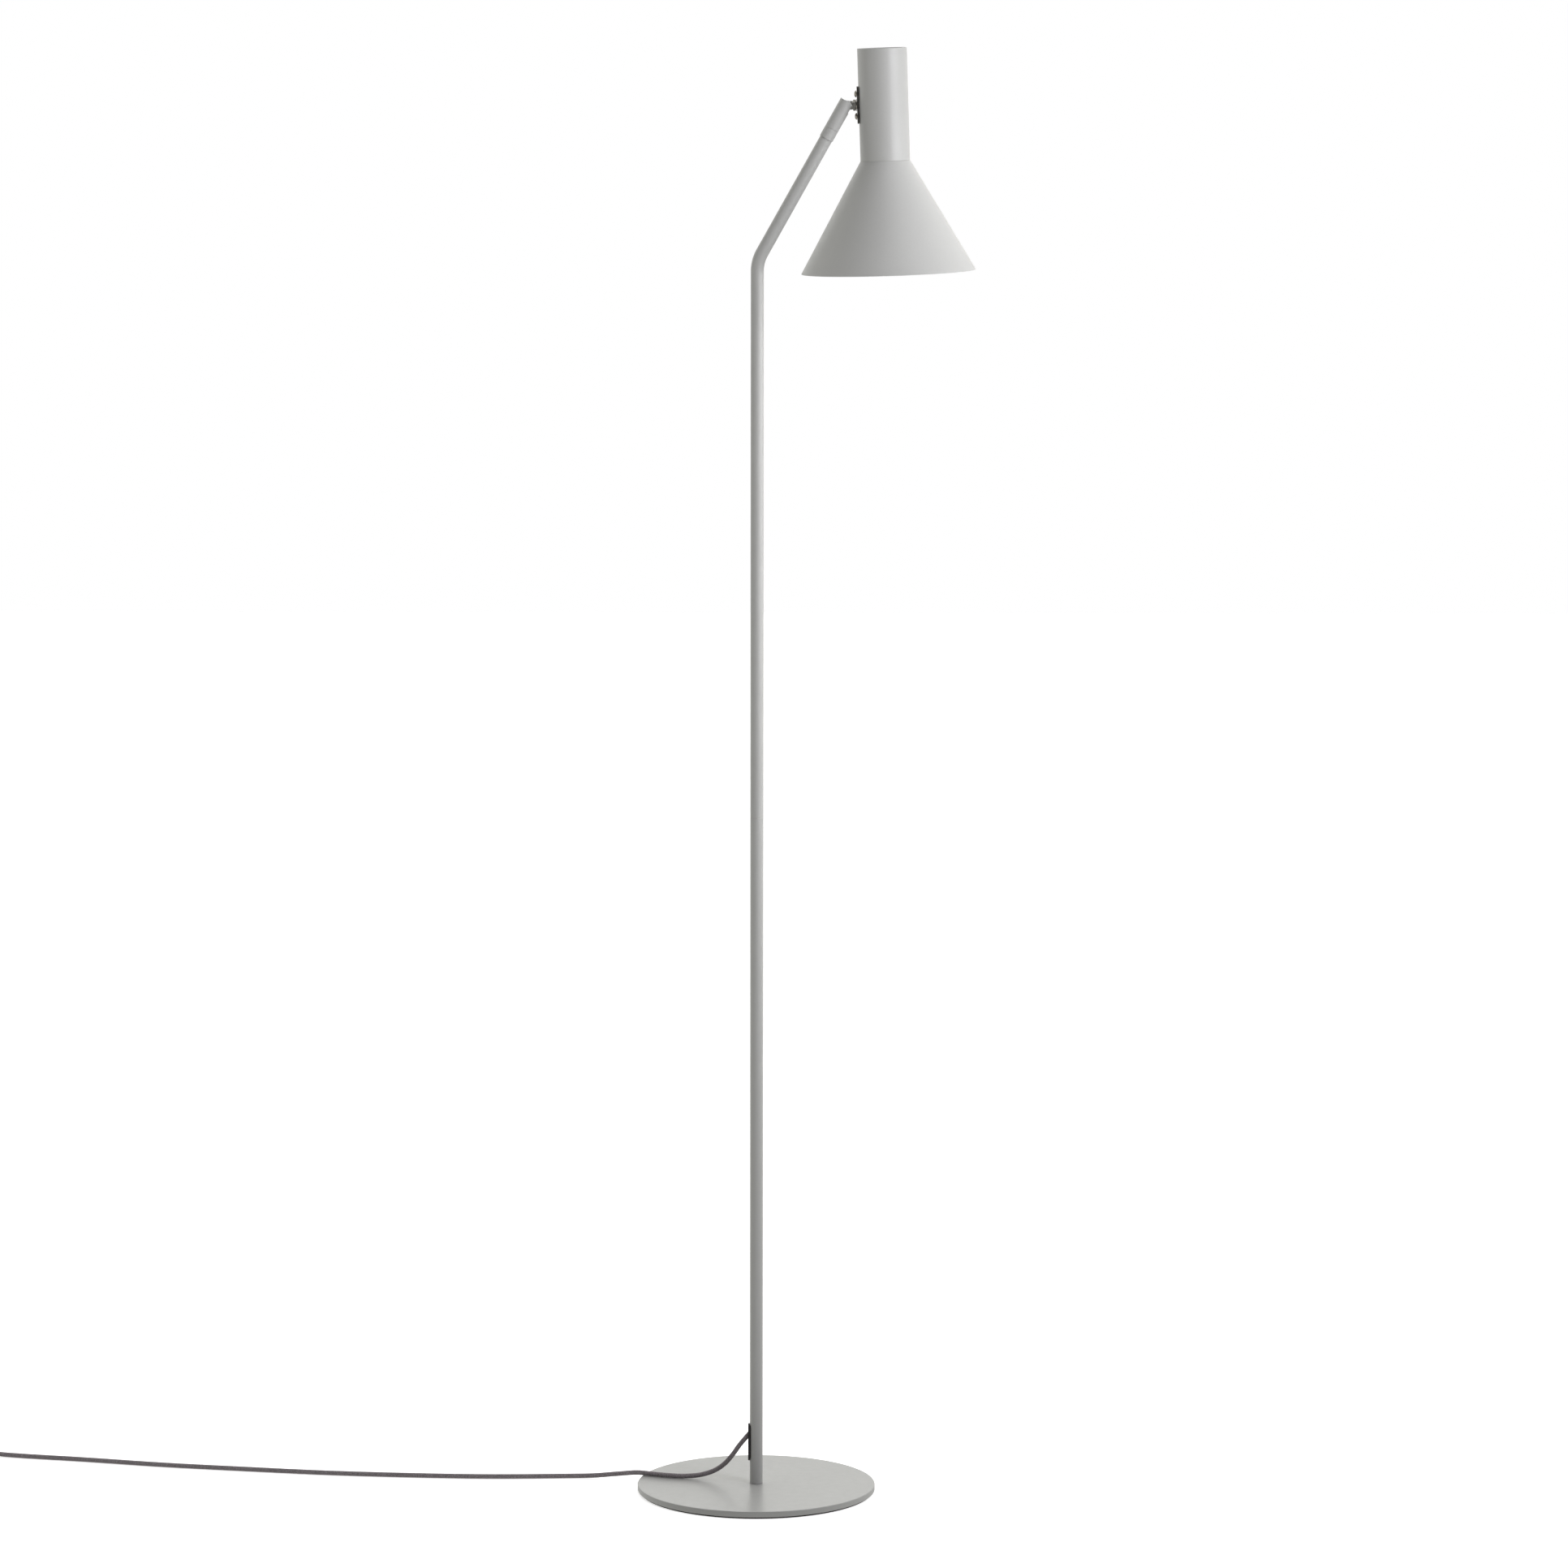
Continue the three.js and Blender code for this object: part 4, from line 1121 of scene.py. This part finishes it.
def add_plug():
    half = [
        (0, 6.5), (2.5, 8.4), (6, 9.5), (12, 11.6), (18, 14.2), (22, 16), (25, 17.5), (36, 17.5),
    ]
    outline = [(x, -y) for x, y in half] + [(x, y) for x, y in reversed(half)]
    thick = 6.8  # half the body's thickness
    body = eased(prism(outline, -thick, thick), 1.7, 5, 45)
    grooves = [
        block((x, x + 1.3), (-9, 9), (side * 7 - 0.75, side * 7 + 0.75))
        for x in (9, 12.2, 15.4, 18.6) for side in (-1, 1)
    ]
    holes = [
        shifted(moved(rod(2.3, 28, 38, 48), ALONG_X), y=side * PIN_OFFSET) for side in (-1, 1)
    ]
    piece("plug_shell", cut(body, *grooves, *holes), PLUG, "stand", BLACK_PLASTIC, "plug_body")
    sleeve_end = (PLUG @ Vector((46.25, 0, 0))).x
    for name, side in (("left", 1), ("right", -1)):
        pin = turned([
            (0, 29), (2, 29), (2, 46.2), (1.85, 46.3), (1.85, 46.7), (2, 46.8), (2, 55, 1.6),
            (0, 55),
        ], 48, 6)
        pin = shifted(moved(pin, ALONG_X), y=side * PIN_OFFSET)
        pin = piece(f"pin_{name}", pin, PLUG, "stand", PIN_METAL, f"plug_pin_{name}")
        pin.data.materials.append(BLACK_PLASTIC)
        for face in pin.data.polygons:
            if face.center.x < sleeve_end:
                face.material_index = 1
    sleeve = turned(relief_profile(0.3, 25, 5, 3.3, 6), 64)
    sleeve = moved(moved(sleeve, ALONG_X), Matrix.Rotation(math.pi, 4, "Z"))
    piece("plug_sleeve", sleeve, PLUG, "stand", RUBBER, "plug_relief")


def hull(points):
    """The corners of the convex outline round a set of points, anticlockwise."""
    corners = []
    for path in (sorted(points), sorted(points, reverse=True)):
        side = []
        for p in path:
            while len(side) > 1 and (
                (side[-1][0] - side[-2][0]) * (p[1] - side[-2][1])
                <= (side[-1][1] - side[-2][1]) * (p[0] - side[-2][0])
            ):
                side.pop()
            side.append(p)
        corners += side[:-1]
    return corners


def add_tie():
    """A strap drawn tight round the bundle of turns, with its end lapped over on top."""
    clear, thick, half = 0.2, 0.6, 5  # half its width

    def around(gap):
        reach = CORD_DIAMETER / 2 + gap
        steps = [2 * math.pi * k / 48 for k in range(48)]
        return hull([
            (round(r + reach * math.cos(a), 4), round(z + reach * math.sin(a), 4))
            for r, z in COIL_TURNS[:5] for a in steps
        ])

    outside, inside = around(clear + thick), around(clear)
    shell = cut(prism(outside, -half, half), prism(inside, -half - 1, half + 1))
    shell = eased(shell, 0.15, 2, 60)
    lap = eased(prism(rounded_rectangle(6.4, 0.5, 0.2, 2), -4.6, 4.6), 0.12, 1, 60)
    (inner, _), (outer, top) = COIL_TURNS[3:5]
    middle, height = (inner + outer) / 2, top + CORD_DIAMETER / 2 + 0.95
    strap = joined(shell, shifted(lap, x=middle, y=height))
    upright = Matrix(((1, 0, 0, 0), (0, 0, 1, 0), (0, 1, 0, 0), (0, 0, 0, 1)))
    place = (
        Matrix.Translation((COIL_CENTRE[0], COIL_CENTRE[1], 0))
        @ Matrix.Rotation(math.pi / 4, 4, "Z")
        @ upright
    )
    piece("coil_strap", moved(strap, place), WORLD, "stand", RUBBER, "cord_tie")


# ---- the CAD pieces that stay ----

KEPT = {
    ZINC: (
        "foot_nipple", "foot_washer", "foot_nut", "holder_bracket", "holder_nipple", "holder_nut",
        "bulb_contact", "bulb_cap", "switch_screw_front", "switch_screw_back",
    ),
    # painted shade: the hidden nipples and bolt take the dark steel
    STEEL_PAINTED_SHADE: ("mid_nipple", "neck_nipple", "swivel_bolt"),
    BRASS: ("lampholder_shell", "lampholder_contact"),
    WHITE_PLASTIC: ("lampholder_core", "switch_block"),
    INNER_LEAD: ("pole_lead", "head_lead"),
}


def finish_kept_nodes():
    for material, names in KEPT.items():
        for name in names:
            slots = NODES[name].data.materials
            slots.clear()
            slots.append(material)


# ---- floor and light ----

FLOOR_GLOW = 0.55
BACKDROP, FLOOR_BOUNCE = 1.2, 0.72  # brightness of the world behind the lamp and below it


def add_floor():
    """A pale floor that the camera sees, and that takes the lamp's soft shadow."""
    mesh = bpy.data.meshes.new("floor")
    reach = 9
    corners = [(-reach, -reach, 0), (reach, -reach, 0), (reach, reach, 0), (-reach, reach, 0)]
    mesh.from_pydata(corners, [], [(0, 1, 2, 3)])
    floor = bpy.data.objects.new("floor", mesh)
    bpy.context.scene.collection.objects.link(floor)
    n = Nodes("pale_floor")
    shade = n.mixed(n.ranged(n.noise(90, 3), 0, 1), (0.9, 0.9, 0.9), (0.93, 0.93, 0.93))
    mesh.materials.append(n.finish(
        Base_Color=shade, Roughness=0.9, Emission_Color=(1, 1, 1, 1), Emission_Strength=FLOOR_GLOW
    ))
    floor.visible_diffuse = False
    floor.visible_glossy = False


def add_world():
    """A bright backdrop behind the lamp, a white floor below it and a dark room before it."""
    world = bpy.data.worlds.new("studio")
    bpy.context.scene.world = world
    world.use_nodes = True
    world.node_tree.nodes.clear()
    tree = Tree(world.node_tree)
    smooth = {"interpolation_type": "SMOOTHSTEP"}
    all_round = tree.add("ShaderNodeTexCoord").outputs["Generated"]
    way = tree.add("ShaderNodeSeparateXYZ", {0: all_round}).outputs
    behind = tree.ranged(way["Y"], 0.0, BACKDROP, (-0.35, 0.45), **smooth)
    level = tree.ranged(way["Z"], FLOOR_BOUNCE, behind, (-0.12, 0.02), **smooth)
    room = tree.add("ShaderNodeBackground", {"Color": (1, 1, 0.965, 1), "Strength": level})
    plain = tree.add("ShaderNodeBackground", {"Color": (1, 1, 1, 1), "Strength": 1.0})
    seen = tree.add("ShaderNodeLightPath").outputs["Is Camera Ray"]
    mix = tree.add("ShaderNodeMixShader", {0: seen, 1: room.outputs[0], 2: plain.outputs[0]})
    tree.add("ShaderNodeOutputWorld", {"Surface": mix.outputs[0]})


def add_softbox(name, location, target, size, power, spread=180.0, colour=(1, 1, 1)):
    data = bpy.data.lights.new(name, "AREA")
    data.shape = "RECTANGLE"
    data.size, data.size_y = size
    data.energy = power
    data.color = colour
    data.spread = math.radians(spread)
    light = bpy.data.objects.new(name, data)
    light.location = location
    aim = Vector(target) - Vector(location)
    light.rotation_mode = "QUATERNION"
    light.rotation_quaternion = aim.to_track_quat("-Z", "Y")
    light.visible_camera = False
    bpy.context.scene.collection.objects.link(light)


def add_lights():
    add_softbox("key", (1.5, -1.2, 1.7), (0.1, 0, 1.3), (0.8, 1.2), 28, colour=(0.98, 0.98, 1.03))
    add_softbox("overhead", (0.3, -0.2, 3.0), (0, 0, 1), (1.4, 1.4), 11.5)
    add_softbox("fill", (-1.8, -0.9, 0.9), (0, 0, 0.8), (1.2, 1.6), 7)
    add_softbox("pole_strip", (1.9, -0.5, 1.0), (0, 0, 1), (0.8, 0.8), 1.1, spread=40)


for build in (
    add_base, add_pole, add_grommet, add_neck, add_barrel, add_stem, add_bracket, add_casing,
    add_shade, add_lampholder, add_bulb, add_switch, add_plug, add_tie, finish_kept_nodes,
    add_floor, add_world, add_lights,
):
    build()
bpy.context.scene.view_settings.view_transform = "Standard"
